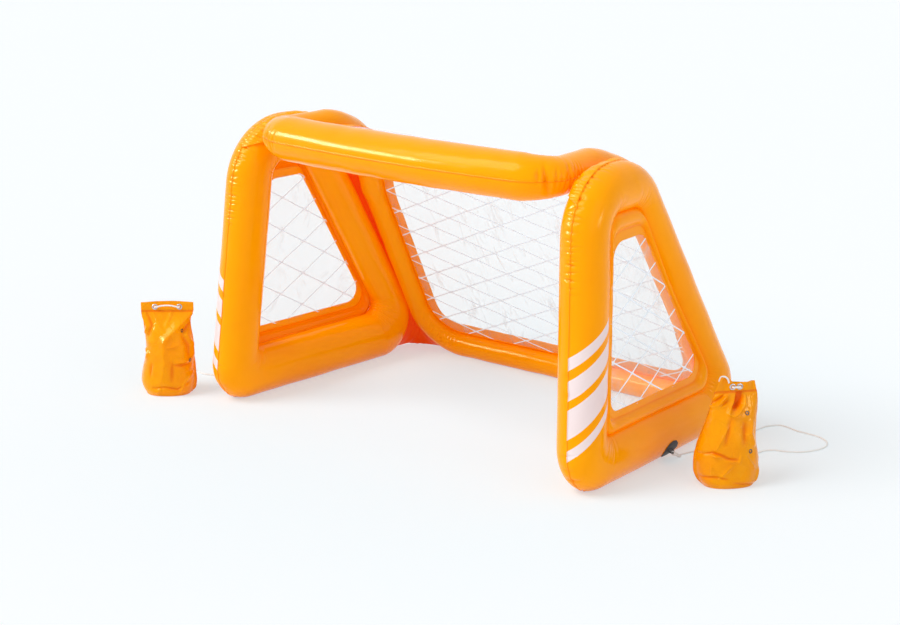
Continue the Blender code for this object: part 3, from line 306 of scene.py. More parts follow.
def net_film(name, origin, rising, falling, haze):
    """Clear film printed with a white net: lines through origin along two directions, in metres."""
    f = Finish(name, Specular_IOR_Level=0.55, Roughness=0.09, Emission_Strength=0.55)
    x, y = f.print_at()
    area = rising[0] * falling[1] - rising[1] * falling[0]
    away = []
    for (a, b), sign in ((falling, 1), (rising, -1)):
        index = (x - origin[0]) * (sign * b / area) - (y - origin[1]) * (sign * a / area)
        off = (index + 100.5).math("FRACT") - 0.5
        away.append(off.math("ABSOLUTE") * (abs(area) / math.hypot(a, b)))
    width = NET_LINE + (1 - (away[0] + away[1]).step(0.002, 0.011)) * NET_KNOT
    lines = 1 - (away[0] / width).math("MINIMUM", away[1] / width).step(0.82, 1.06)
    # Whitish streaks that thicken the film: painted reflections on it
    painted_reflection_streaks = f.noise(9.0, 5.0, 0.62, stretch=(3.0, 1.0, 0.7), distortion=0.8).step(0.52, 0.78)
    f.set("Base Color", f.mix(lines, linear(244, 246, 249), linear(206, 214, 222)))
    f.set("Alpha", (haze + painted_reflection_streaks * 0.22) * (1 - lines) + lines * 0.93)
    # The print lines glow faintly: a painted glow for light coming through the white ink
    f.set("Emission Color", f.mix(lines, linear(0, 0, 0), linear(184, 188, 192)))
    f.bump(f.noise(22.0, 3.0, 0.6, stretch=(2.0, 1.0, 0.8)), 0.002, 0.5)
    return f.owner


def bag_vinyl():
    """Supple vinyl of the weight bags: creased, with wet-looking gloss and a faint painted glow."""
    f = Finish("weight_bag_vinyl", Specular_IOR_Level=0.5, Emission_Strength=0.05,
               Emission_Color=ORANGE_PAINTED_GLOW, **GLOSS)
    # Random tone, darker welds and fins, and painted shade in the front folds' hollows, which the weld value
    # carries
    shade = f.noise(11.0, 4.0, 0.6) * 0.75 - 0.12 + f.attribute("weld") * 0.5
    f.set("Base Color", f.mix(shade, linear(255, 172, 0), linear(236, 104, 0)))
    f.set("Roughness", 0.11 + f.noise(30.0, 3.0) * 0.12)
    f.bump(f.cells(27.0, 0.07) * 0.45 + f.noise(75.0, 4.0, 0.6) * 0.55, 0.0013, 0.60)
    return f.owner


def braided_cord():
    """White braided cord: slanting plaits crossing over each other, with painted shade between them and a
    faint painted glow.
    """
    f = Finish("braided_cord", Specular_IOR_Level=0.3, Emission_Strength=0.14,
               Emission_Color=linear(250, 250, 250))
    along, around = f.print_at()
    right, left = (((along * 1.1 + around * k) * (2 * math.pi)).math("SINE") for k in (4, -4))
    plait, dust = right.math("MAXIMUM", left), f.noise(60.0, 3.0)
    # Painted shade between the plaits, with some dust
    shade = (1 - plait.step(0.1, 0.9)) * 0.7 + dust * 0.25
    f.set("Base Color", f.mix(shade, linear(250, 250, 248), linear(226, 224, 218)))
    f.set("Roughness", 0.62 + dust * 0.2)
    f.bump(plait, 0.0004, 0.8)
    return f.owner


def worn(name, noise, share, colours, roughness, grain, **constants):
    """A moulded or plated finish: two colours by wear, dulled by it, over a fine grain."""
    f = Finish(name, **constants)
    wear = f.noise(*noise)
    f.set("Base Color", f.mix(share(wear), *(linear(*colour) for colour in colours)))
    f.set("Roughness", roughness[0] + wear * roughness[1])
    f.bump(f.noise(grain[0]), *grain[1:])
    return f.owner


def plated(name, roughness, *colours):
    return worn(name, (220.0, 4.0, 0.6), lambda wear: wear.step(0.35, 0.75), colours, (roughness, 0.18),
                (1500.0, 0.0001, 0.4), Metallic=1.0)


# The side windows' print is measured in the frame's own plane, and the back window's on its slope
SIDE_NET = {"origin": (0.364, 0.413), "rising": (0.087, 0.0483), "falling": (0.087, -0.0483)}
BACK_NET = {"origin": (-0.041, 0.481), "rising": (0.086, 0.041), "falling": (0.108, -0.032)}

FINISHES = {
    "orange_vinyl": inflated_vinyl("inflated_vinyl"),
    "striped_vinyl": inflated_vinyl("inflated_vinyl_with_bands", striped=True),
    "web_vinyl": single_sheet_vinyl("web_vinyl", linear(255, 172, 0), linear(250, 146, 0)),
    # The corner webs are the tubes' orange vinyl, painted deep red-orange as the shade and bounced light deep
    # between the tubes
    "red_orange_vinyl": single_sheet_vinyl("corner_web_vinyl", linear(255, 106, 12), linear(246, 76, 10)),
    "side_film": net_film("side_window_film", haze=0.10, **SIDE_NET),
    "back_film": net_film("back_window_film", haze=0.08, **BACK_NET),
    "bag_vinyl": bag_vinyl(),
    "white_cord": braided_cord(),
    "black_rubber": worn(
        "moulded_black_rubber", (120.0, 4.0, 0.6), lambda dust: dust.step(0.45, 0.8) * 0.5,
        ((11, 11, 13), (40, 40, 44)), (0.34, 0.22), (900.0, 0.0003, 0.35), Specular_IOR_Level=0.45,
    ),
    "plated_eyelet": plated("plated_eyelet", 0.16, (214, 214, 218), (150, 150, 156)),
    "dark_eyelet": plated("dark_eyelet", 0.22, (96, 100, 108), (46, 50, 58)),
    "valve_vinyl": worn(
        "moulded_valve_vinyl", (60.0, 3.0), lambda clouds: clouds,
        ((252, 170, 10), (240, 140, 5)), (0.28, 0.15), (800.0, 0.0002, 0.3), Specular_IOR_Level=0.45,
    ),
}

# Meshes


def run_of(path):
    """The length run at each point of a path."""
    return np.concatenate([[0], np.cumsum(np.linalg.norm(np.diff(path, axis=0), axis=1))])


def looped(values):
    return np.concatenate([values, values[:1]])


def resampled(at, run, *arrays):
    """Arrays of a value or a point for each length of a run, at other lengths."""
    moved = []
    for array in arrays:
        columns = [np.interp(at, run, c) for c in array.reshape(len(array), -1).T]
        moved.append(np.stack(columns, axis=1).reshape((len(at),) + array.shape[1:]))
    return moved


def bell(values, centre, wide):
    """A bell of height 1."""
    return np.exp(-(((values - centre) / wide) ** 2))


def add_piece(mesh, finish, body, *replaced):
    """Links a mesh as a piece that rides on a body and stands for CAD nodes."""
    mesh.transform(Matrix.Translation(-MIDDLE))
    piece = new_object(mesh.name, mesh)
    mesh.materials.append(FINISHES[finish])
    mesh.shade_smooth()
    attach(piece, body)
    if replaced:
        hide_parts(*replaced)
    return piece


def new_mesh(name, points, faces, uv=None, **values):
    """A mesh that faces outwards, with a print and values at its points for its material to read."""
    mesh = bpy.data.meshes.new(name)
    mesh.from_pydata(np.reshape(points, (-1, 3)).tolist(), [], faces)
    if uv is not None:
        index = np.zeros(len(mesh.loops), np.int32)
        mesh.loops.foreach_get("vertex_index", index)
        flat = np.reshape(uv, (-1, 2)).astype(np.float32)[index]
        mesh.uv_layers.new(name="print").data.foreach_set("uv", flat.ravel())
    for key, numbers in values.items():
        attribute = mesh.attributes.new(key, "FLOAT", "POINT")
        attribute.data.foreach_set("value", np.asarray(numbers, np.float32).ravel())
    bm = bmesh.new()
    bm.from_mesh(mesh)
    if bm.calc_volume(signed=True) < 0:
        bmesh.ops.reverse_faces(bm, faces=bm.faces[:])
    bm.to_mesh(mesh)
    bm.free()
    return mesh


def skin(name, grid, closed=False, **printed):
    """A mesh over a grid whose columns wrap round, and whose rows wrap round or end in caps."""
    rows, columns = grid.shape[:2]
    i, j = (a.ravel() for a in np.mgrid[: rows if closed else rows - 1, :columns])
    here, after, beside = i * columns, (i + 1) % rows * columns, (j + 1) % columns
    faces = np.stack([here + j, here + beside, after + beside, after + j], 1).tolist()
    if not closed:
        faces += [list(range(columns))[::-1], list(range((rows - 1) * columns, rows * columns))]
    return new_mesh(name, grid, faces, **printed)


def normals(grid):
    normal = np.cross(np.gradient(grid, axis=0), np.gradient(grid, axis=1))
    return normal / np.maximum(np.linalg.norm(normal, axis=2, keepdims=True), 1e-12)


def thicken(grid, thickness):
    """A closed thin sheet round a grid of points: its two faces as one wrapped grid."""
    offset = normals(grid) * 0.5 * thickness
    return np.concatenate([grid - offset, (grid + offset)[:, ::-1]], axis=1)


def crumple(x, z, seed, size):
    """Crisp facets, as in a creased sheet: folded waves laid over each other."""
    random = np.random.default_rng(seed)
    out = np.zeros_like(x)
    for _ in range(8):
        turn, length, phase = (random.uniform(*ends) for ends in ((0, math.pi), (0.026, 0.070), (0, 6)))
        across = x * math.cos(turn) + z * math.sin(turn)
        along = z * math.cos(turn) - x * math.sin(turn)
        wave = across / length + 0.16 * np.sin(along / length * 2.3 + phase) + phase
        out += np.abs(wave % 1 - 0.5) * 2 - 0.5
    return out * size / 2


def add_cord(name, path, body, *replaced, radius=0.5 * CORD_DIAMETER, sides=14):
    """A round cord along a path, with its length and girth in diameters as its print."""
    along = np.gradient(path, axis=0)
    along /= np.linalg.norm(along, axis=1)[:, None]
    side, rows = np.cross(along[0], (0.31, 0.17, 0.94)), []
    turns = np.linspace(0, 2 * math.pi, sides, endpoint=False)
    for point, ahead in zip(path, along):
        side = side - ahead * (side @ ahead)
        side /= np.linalg.norm(side)
        round_it = np.outer(np.cos(turns), side) + np.outer(np.sin(turns), np.cross(ahead, side))
        rows.append(point + radius * round_it)
    around = np.arange(sides) / sides
    girth = 2 * np.minimum(around, 1 - around)[None, :]
    uv = np.stack(np.broadcast_arrays((run_of(path) / CORD_DIAMETER)[:, None], girth), axis=-1)
    return add_piece(skin(name, np.array(rows), uv=uv), "white_cord", body, *replaced)


# Free cords


def smooth_route(points, spacing, low=0.0):
    """Evenly spaced points on a smooth curve through the given ones, none lower than a height."""
    p = np.array(points, float)
    p = np.vstack([2 * p[0] - p[1], p, 2 * p[-1] - p[-2]])
    fine = []
    for a, b, c, d in zip(p, p[1:], p[2:], p[3:]):
        for t in np.linspace(0, 1, 24, endpoint=False):
            bend = (2 * a - 5 * b + 4 * c - d) * t**2 + (3 * b - a - 3 * c + d) * t**3
            fine.append(0.5 * (2 * b + (c - a) * t + bend))
    fine = np.array(fine + [p[-2]])
    run = run_of(fine)
    route = resampled(np.linspace(0, run[-1], max(8, round(run[-1] / spacing))), run, fine)[0]
    route[:, 2] = np.maximum(route[:, 2], low)
    return route


def stood(name, points):
    """Points of a bag's own frame, where the bag stands."""
    turn = np.array(Matrix.Rotation(BAG_TURNS[name], 3, "Z"))
    return np.asarray(points, float) @ turn.T + (*BAG_STANDS[name], 0.0)


def bag_section(name, height):
    """How far the bag leans, its half width and its half depth at a share of its height."""
    near = np.add.outer(np.linspace(-0.03, 0.03, 7), np.asarray(height, float))
    rows = (BAG_LEANS[name], BAG_HALF_WIDTH), (BAG_WIDTHS[name], BAG_HALF_WIDTH), (BAG_DEPTHS, BAG_HALF_DEPTH)
    return [np.interp(near, BAG_SHARES, row).mean(axis=0) * size for row, size in rows]


def bag_lean(name, height):
    return BAG_HALF_WIDTH * float(np.interp(height, BAG_SHARES, BAG_LEANS[name]))


GROMMET_HEIGHT = BAG_HEIGHT + GAP + 0.5 * HEM_HEIGHT


def up_the_bag(name):
    """The last points of a free cord, up the back of its bag to the back grommet."""
    reach, depth = GROMMET_HALF_SPACING[name], BAG_HALF_DEPTH + 0.5 * CORD_DIAMETER
    back, at = 0.5 * HEM_DEPTH + GAP + GROMMET_THICKNESS, bag_lean(name, 1.0) + GROMMET_HALF_SPACING[name]
    points = [(0.0, depth + 0.030, CORD_LIFT)]
    for share, y, height in (
        (0.05, depth + 0.011, 0.046), (0.14, depth + 0.003, 0.172), (0.28, depth + 0.001, 0.344),
        (0.44, depth - 0.004, 0.534), (0.61, depth - 0.018, 0.706), (0.78, 0.6 * depth, 0.859),
        (0.92, 0.3 * depth, 0.973),
    ):
        points.append((bag_lean(name, height) + share * reach, y, height * BAG_HEIGHT))
    last = (at, back + 0.008, GROMMET_HEIGHT - 0.001), (at, back + GAP, GROMMET_HEIGHT)
    return stood(name, [*points, *last])


def free_cord(name):
    floor = [(x, y, CORD_LIFT if k else KNOT_HEIGHT) for k, (x, y) in enumerate(CORD_ROUTES[name])]
    path = smooth_route([*floor, *up_the_bag(name)], CORD_STEP, CORD_LIFT)
    return add_cord(f"{name}_free_cord", path, f"{name}_bag_on_cord", f"{name}_cord"), path


CORDS = {name: free_cord(name) for name in SIDES}

# Outlines of the tubes

ARC = 48
FRAME_STEPS = (40, 40, 12, 40)
RING_STEPS = (30, 20, 44, 20, 40, 20, 44, 20)
# Space between the rows of a tube, and where it is creased
TUBE_STEP, CLOSE_STEP, FINE_STEP = 0.0060, 0.0014, 0.0005
# Height of the raised weld and depth of the fine grooves beside it
WELD_HEIGHT, WELD_GROOVE = 0.0017, 0.0006
# Height over which a tube turns from sinking to resting on the floor
SETTLE = 0.0012
# The even patch of tube round a valve, where its plug swings open
VALVE_ROOM, VALVE_SINK = 0.060, 0.0008
# Where the crossbar is creased, across its length
GROOVE_AT, CREASE_AT = 0.485, -0.44
# Rings of the side windows' film, and rows and columns of the back window's
SIDE_FILM_RINGS, BACK_FILM_ROWS, BACK_FILM_COLUMNS = 25, 190, 90
# Angles round a tube's section, closest together at the welded seam, which is at 0
HALF_TURN = [
    0.011, 0.024, 0.040, 0.062, 0.09, 0.125, 0.17, 0.22, 0.28, 0.35, 0.43, 0.52, 0.62, 0.73, 0.85,
    0.98, 1.12, 1.27, 1.42, 1.57, 1.72, 1.87, 2.02, 2.17, 2.32, 2.47, 2.62, 2.77, 2.90, 3.02,
]
SEAM = len(HALF_TURN)
ANGLES = np.array([-a for a in HALF_TURN[::-1]] + [0.0] + HALF_TURN + [math.pi])


def offset_polygon(corners, distances):
    """Moves each edge of an anticlockwise polygon inwards by its own distance."""
    lines = []
    for start, end, distance in zip(corners, np.roll(corners, -1, axis=0), distances):
        along = (end - start) / np.linalg.norm(end - start)
        lines.append((start + np.array([-along[1], along[0]]) * distance, along))
    moved = []
    for i, (q, s) in enumerate(lines):
        p, t = lines[i - 1]
        moved.append(p + t * np.linalg.solve(np.array([t, -s]).T, q - p)[0])
    return np.array(moved)


def rounded_path(corners, radii, steps):
    """Points round a polygon with rounded corners, each side cut into its own number of steps."""
    path, arcs = [], []
    for before, corner, after, radius in zip(np.roll(corners, 1, 0), corners, np.roll(corners, -1, 0), radii):
        back, ahead = ((way - corner) / np.linalg.norm(way - corner) for way in (before, after))
        half = 0.5 * math.acos(np.clip(back @ ahead, -1, 1))
        centre = corner + (back + ahead) / np.linalg.norm(back + ahead) * radius / math.sin(half)
        first, last = (
            math.atan2(*(corner + way * radius / math.tan(half) - centre)[::-1]) for way in (back, ahead)
        )
        sweep = (last - first + math.pi) % (2 * math.pi) - math.pi
        turns = [first + sweep * k / ARC for k in range(ARC + 1)]
        arcs.append([centre + radius * np.array([math.cos(a), math.sin(a)]) for a in turns])
    for arc, following, count in zip(arcs, arcs[1:] + arcs[:1], steps):
        path += arc + [arc[-1] + (following[0] - arc[-1]) * k / count for k in range(1, count)]
    return np.array(path)


def along_edges(values, steps):
    """One value for each point of rounded_path, turning from one edge's value to the next."""
    out = []
    for i, (value, count) in enumerate(zip(values, steps)):
        before = values[i - 1]
        out += [before + (value - before) * k / ARC for k in range(ARC + 1)] + [value] * (count - 1)
    return np.array(out)


def corner_at(index, steps):
    """Which point of rounded_path a corner's arc begins at."""
    return sum(steps[:index]) + ARC * index


def bends_of(middle, steps):
    """Where each corner's arc begins and ends, as lengths run along a path."""
    run = run_of(looped(middle))
    return [(run[corner_at(i, steps)], run[corner_at(i, steps) + ARC]) for i in range(len(steps))]


def moved_in(path, distance):
    along = np.roll(path, -1, axis=0) - np.roll(path, 1, axis=0)
    along /= np.linalg.norm(along, axis=1)[:, None]
    return path + np.stack([-along[:, 1], along[:, 0]], axis=1) * distance


def evened(spacing, middle, *arrays, close=()):
    """Resamples values along a closed path at even steps, shorter in the close stretches."""
    run = run_of(looped(middle))
    fine = np.arange(0, run[-1], FINE_STEP)
    density = np.full(len(fine), 1 / spacing)
    for start, end in close:
        density[(fine - start) % run[-1] < end - start] = 1 / CLOSE_STEP
    density = np.convolve(np.concatenate([density[-20:], density, density[:20]]), np.ones(41) / 41, "valid")
    count = np.concatenate([[0], np.cumsum(density * FINE_STEP)])
    whole = int(count[-1])
    at = np.interp(np.arange(whole) * count[-1] / whole, count, np.append(fine, run[-1]))
    return at, run[-1], *resampled(at, run, *map(looped, arrays))


def seam_profile():
    """The raised weld along the seam, with a fine groove on both sides of it."""
    return WELD_HEIGHT * bell(ANGLES, 0, 0.016) - WELD_GROOVE * bell(np.abs(ANGLES), 0.055, 0.022)


def dents(run, total, marks):
    """Depth of pinched creases; each mark is (run, half width, angle, half reach, depth, slant)."""
    depth = np.zeros((len(run), len(ANGLES)))
    for at, wide, face, reach, deep, slant in marks:
        off = (run - at + 0.5 * total) % total - 0.5 * total
        rows = np.abs(off) < 4 * wide + abs(slant) * reach * 2
        turn = (ANGLES - face + math.pi) % (2 * math.pi) - math.pi
        away = off[rows][:, None] - slant * turn[None, :]
        depth[rows] += deep * np.exp(-(np.abs(away / wide) ** 1.5)) * bell(turn, 0, reach)[None, :]
    return depth


def ripples(run, total, seed, height):
    """Soft unevenness of blown-up vinyl."""
    random = np.random.default_rng(seed)
    out = np.zeros((len(run), len(ANGLES)))
    for _ in range(9):
        waves = round(total / (0.30 * random.uniform(0.25, 1.0)))
        turns, phase, lean = random.integers(0, 4), *random.uniform(0, 2 * math.pi, 2)
        out += np.outer(np.cos(2 * math.pi * waves * run / total + phase), np.cos(turns * ANGLES + lean))
    return out * height / 3


def pinches(random, start, end, spacing, depth, reach, face=0.0, width=0.0021):
    """A row of short creases across the seam, unevenly spaced and unequal."""
    marks, at = [], start
    while at < end:
        at += spacing * random.uniform(0.65, 1.4)
        share = math.sin(math.pi * min(max((at - start) / (end - start), 0.0), 1.0)) ** 0.5
        size = depth * random.uniform(0.45, 1.25) * (0.35 + 0.65 * share)
        marks.append((at, width * random.uniform(0.8, 1.5), face + random.normal(0, 0.05),
                      reach * random.uniform(0.6, 1.2), size, random.normal(0, 0.004)))
    return marks


def swept(middle, reach, turn, lift):
    """Places in a tube's plane, at turns round its section with its skin lifted."""
    span = np.linalg.norm(reach, axis=1)[:, None]
    return middle[:, None, :] + reach[:, None, :] * (np.cos(turn) * (1 + lift / span))[:, :, None]


def settle(height):
    """Lets what would sink into the floor rest on it."""
    return 0.5 * (height + np.sqrt(height**2 + SETTLE**2))


def flange(name, form, edge, spacing, level, half, share, shape, thickness, groove):
    """A thin strip from a tube's skin to the edge of its window, grooved where it is welded."""
    bulge = np.sqrt(1 - (level / half) ** 2)[:, None]
    tube = 0.5 * (form.outer + form.inner) + 0.5 * (form.inner - form.outer) * (bulge - 0.01)
    run, total, tube, edge = evened(spacing, form.inner, tube, edge)
    height = shape(run, total, np.linalg.norm(edge - tube, axis=1)[:, None])
    flat = tube[:, None, :] + (edge - tube)[:, None, :] * share[None, :, None]
    front, back = (form.place(flat[:, :, 0], flat[:, :, 1], height + t) for t in (0, thickness))
    grid = np.concatenate([front, back[:, ::-1]], axis=1)
    return skin(name, grid, True, seam=np.broadcast_to([*groove, *groove[::-1]], grid.shape[:2]))


# Side frames


class SideFrame:
    """u runs back along the foot, v up the frame and n out from the goal."""

    corners = np.array([[0, 0], [FRAME_DEPTH, 0], [TOP_BACK, FRAME_HEIGHT], [POST_LEAN, FRAME_HEIGHT]])

    def __init__(self, name):
        self.name, self.side = name, SIDES[name]
        self.along = np.array([-self.side * math.sin(SPLAY), math.cos(SPLAY), 0])
        level, up = np.array([self.side * math.cos(SPLAY), math.sin(SPLAY), 0]), np.array([0, 0, 1.0])
        self.rise = up * math.cos(LEAN) - level * math.sin(LEAN)
        self.out = level * math.cos(LEAN) + up * math.sin(LEAN)
        self.origin = np.array([self.side * HALF_SPAN, 0, -FLOOR_FLAT])
        self.outer = rounded_path(self.corners, FRAME_RADII, FRAME_STEPS)
        self.inner = rounded_path(offset_polygon(self.corners, FRAME_WIDTHS), FRAME_INNER_RADII, FRAME_STEPS)
        half = 0.5 * FRAME_THICKNESS
        self.bulge_out, self.bulge_in = (
            along_edges((half, leg, half, half), FRAME_STEPS) for leg in (LEG_BULGE_OUT, LEG_BULGE_IN)
        )

    def place(self, u, v, n):
        u, v, n = (np.asarray(a, float)[..., None] for a in (u, v, n))
        return self.origin + self.along * u + self.rise * v + self.out * n

    def tube(self):
        middle = 0.5 * (self.outer + self.inner)
        bends = bends_of(middle, FRAME_STEPS)
        close = [(start - 0.03, end + 0.03) for start, end in bends]
        close[3] = bends[3][0] - 0.03, bends[3][1] + 0.12
        post = along_edges((0.0, 0.0, 0.0, 1.0), FRAME_STEPS)
        run, total, outer, inner, front, back, post = evened(
            TUBE_STEP, middle, self.outer, self.inner, self.bulge_out, self.bulge_in, post, close=close
        )
        depth = dents(run, total, self.creases(*bends))
        lift = seam_profile() - depth + ripples(run, total, 21 + self.side, 0.0005)
        random = np.random.default_rng(7 + self.side)
        wander = np.interp(run, np.linspace(0, total, 260), random.normal(0, 1, 260))
        wander *= 0.016 * np.clip(depth[:, SEAM] / 0.0008, 0.05, 1.0)
        turn = ANGLES + wander[:, None] * bell(ANGLES, 0, 0.7)
        bulge = np.where(turn > 0, front[:, None], back[:, None])

        def surface(lift):
            flat = swept(0.5 * (outer + inner), 0.5 * (outer - inner), turn, lift)
            return flat, self.place(flat[:, :, 0], flat[:, :, 1], np.sin(turn) * (bulge + lift))

        low, high = (np.array(v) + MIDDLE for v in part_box(f"{self.name}_valve_base"))
        near = bell(np.linalg.norm(surface(lift)[1] - 0.5 * (low + high), axis=2), 0, VALVE_ROOM)
        flat, grid = surface(lift * (1 - near) - VALVE_SINK * near)
        grid[:, :, 2] = settle(grid[:, :, 2])
        arc = np.cumsum(np.linalg.norm(np.diff(grid, axis=1, prepend=grid[:, -1:]), axis=2), axis=1)
        arc -= arc[:, SEAM : SEAM + 1]
        return skin(
            f"{self.name}_frame_tube", grid, True,
            # Darker weld line, plus painted shade in the creases from their depth
            seam=bell(ANGLES, 0, 0.035) + np.clip(depth / 0.006, 0, 0.6),
            stripe_run=flat[:, SEAM, 1][:, None] - STRIPE_RISE * np.maximum(arc, 0),
            stripe_sheet=((ANGLES >= 0) & (ANGLES < 3.0))[None, :] * (post[:, None] > 0.02),
        )

    def creases(self, foot, back, crown, front):
        """Where the vinyl puckers: at the bends, most at the top of the post, and a few strays."""
        rows = [
            (foot[0] - 0.015, foot[1] + 0.03, 0.018, 0.0022, 0.40),
            (back[0] - 0.02, back[1] + 0.03, 0.016, 0.0028, 0.42),
            (crown[0] - 0.05, crown[1], 0.012, 0.0036, 0.42),
            (front[0], front[1] + 0.02, 0.011, 0.0044, 0.36),
            (front[1] + 0.02, front[1] + 0.11, 0.014, 0.0040, 0.30),
        ]
        for bend in (foot, back, crown, front):
            rows += [(*bend, 0.013, 0.0014, 0.50, face, 0.0034) for face in (2.2, -2.2, 2.8, -2.8)]
        random = np.random.default_rng(31 + self.side)
        marks = [mark for row in rows for mark in pinches(random, *row)]
        return marks + [(front[1] + at, 0.0070, 0.0, 0.28, 0.0020, 0.0) for at in (0.31, 0.36, 0.55)]

    def window_edge(self, inset=0.0):
        distances = [w + b - inset for w, b in zip(FRAME_WIDTHS, WINDOW_BORDERS)]
        radii = [r + inset for r in WINDOW_RADII]
        return rounded_path(offset_polygon(self.corners, distances), radii, FRAME_STEPS)

    def border(self):
        """The second, smaller roll beside the tube and the flat flange round the window."""
        share = np.concatenate([np.linspace(0, 0.60, 16), np.linspace(0.64, 1.0, 9)])

        def shape(run, total, span):
            roll = np.where(share < 0.62, np.sin(math.pi * np.clip(share / 0.62, 0, 1)) ** 0.8, 0.0)
            wave = 0.0004 * np.cos(run * 2 * math.pi * round(total / 0.11) / total)[:, None] * (share > 0.62)
            weld = 0.0006 * bell(share, 1.0, 0.05) - 0.0012 * bell(share, 0.64, 0.03)
            return WINDOW_SET_OUT + np.minimum(0.0125, 0.20 * span) * roll + wave + weld

        groove = bell(share, 0.64, 0.035) + 0.8 * bell(share, 0, 0.05)
        return flange(f"{self.name}_window_flange", self, self.window_edge(), 0.006, WINDOW_SET_OUT,
                      self.bulge_out, share, shape, -BORDER_THICKNESS, groove)

    def film(self):
        """The clear window, faintly rippled, with its print measured in the frame's plane."""
        edge = self.window_edge(FILM_LAP)
        centre = edge.mean(axis=0)
        shares = np.linspace(0, 1, SIDE_FILM_RINGS + 1)[1:]
        flat = centre + (edge - centre)[None, :, :] * shares[:, None, None]
        u, v = flat[:, :, 0], flat[:, :, 1]
        sag = np.sin(41 * u + 9 * v + self.side) * np.sin(17 * v - 13 * u) * 0.0011
        level = WINDOW_SET_OUT - GAP - 0.5 * FILM_THICKNESS
        rings = self.place(u, v, level + sag * (1 - shares**4)[:, None])
        rows, count = rings.shape[:2]
        k = np.arange(count)
        n, rim, layer = (k + 1) % count, 1 + (rows - 1) * count, 1 + rows * count
        points, faces = [], []
        for base, way in ((0, -1), (layer, 1)):
            points += [*(np.vstack([self.place(*centre, level), rings.reshape(-1, 3)])
                         + self.out * (way * 0.5 * FILM_THICKNESS))]
            fan = [np.stack([np.full(count, base), base + 1 + k, base + 1 + n], 1)]
            for low in base + 1 + count * np.arange(rows - 1):
                fan.append(np.stack([low + k, low + count + k, low + count + n, low + n], 1))
            for part in fan:
                faces += part[:, ::way].tolist()
        faces += np.stack([rim + k, rim + n, layer + rim + n, layer + rim + k], 1).tolist()
        uv = np.vstack([centre, flat.reshape(-1, 2)])
        return new_mesh(f"{self.name}_window_film", points, faces, np.vstack([uv, uv]))


# The folded ring


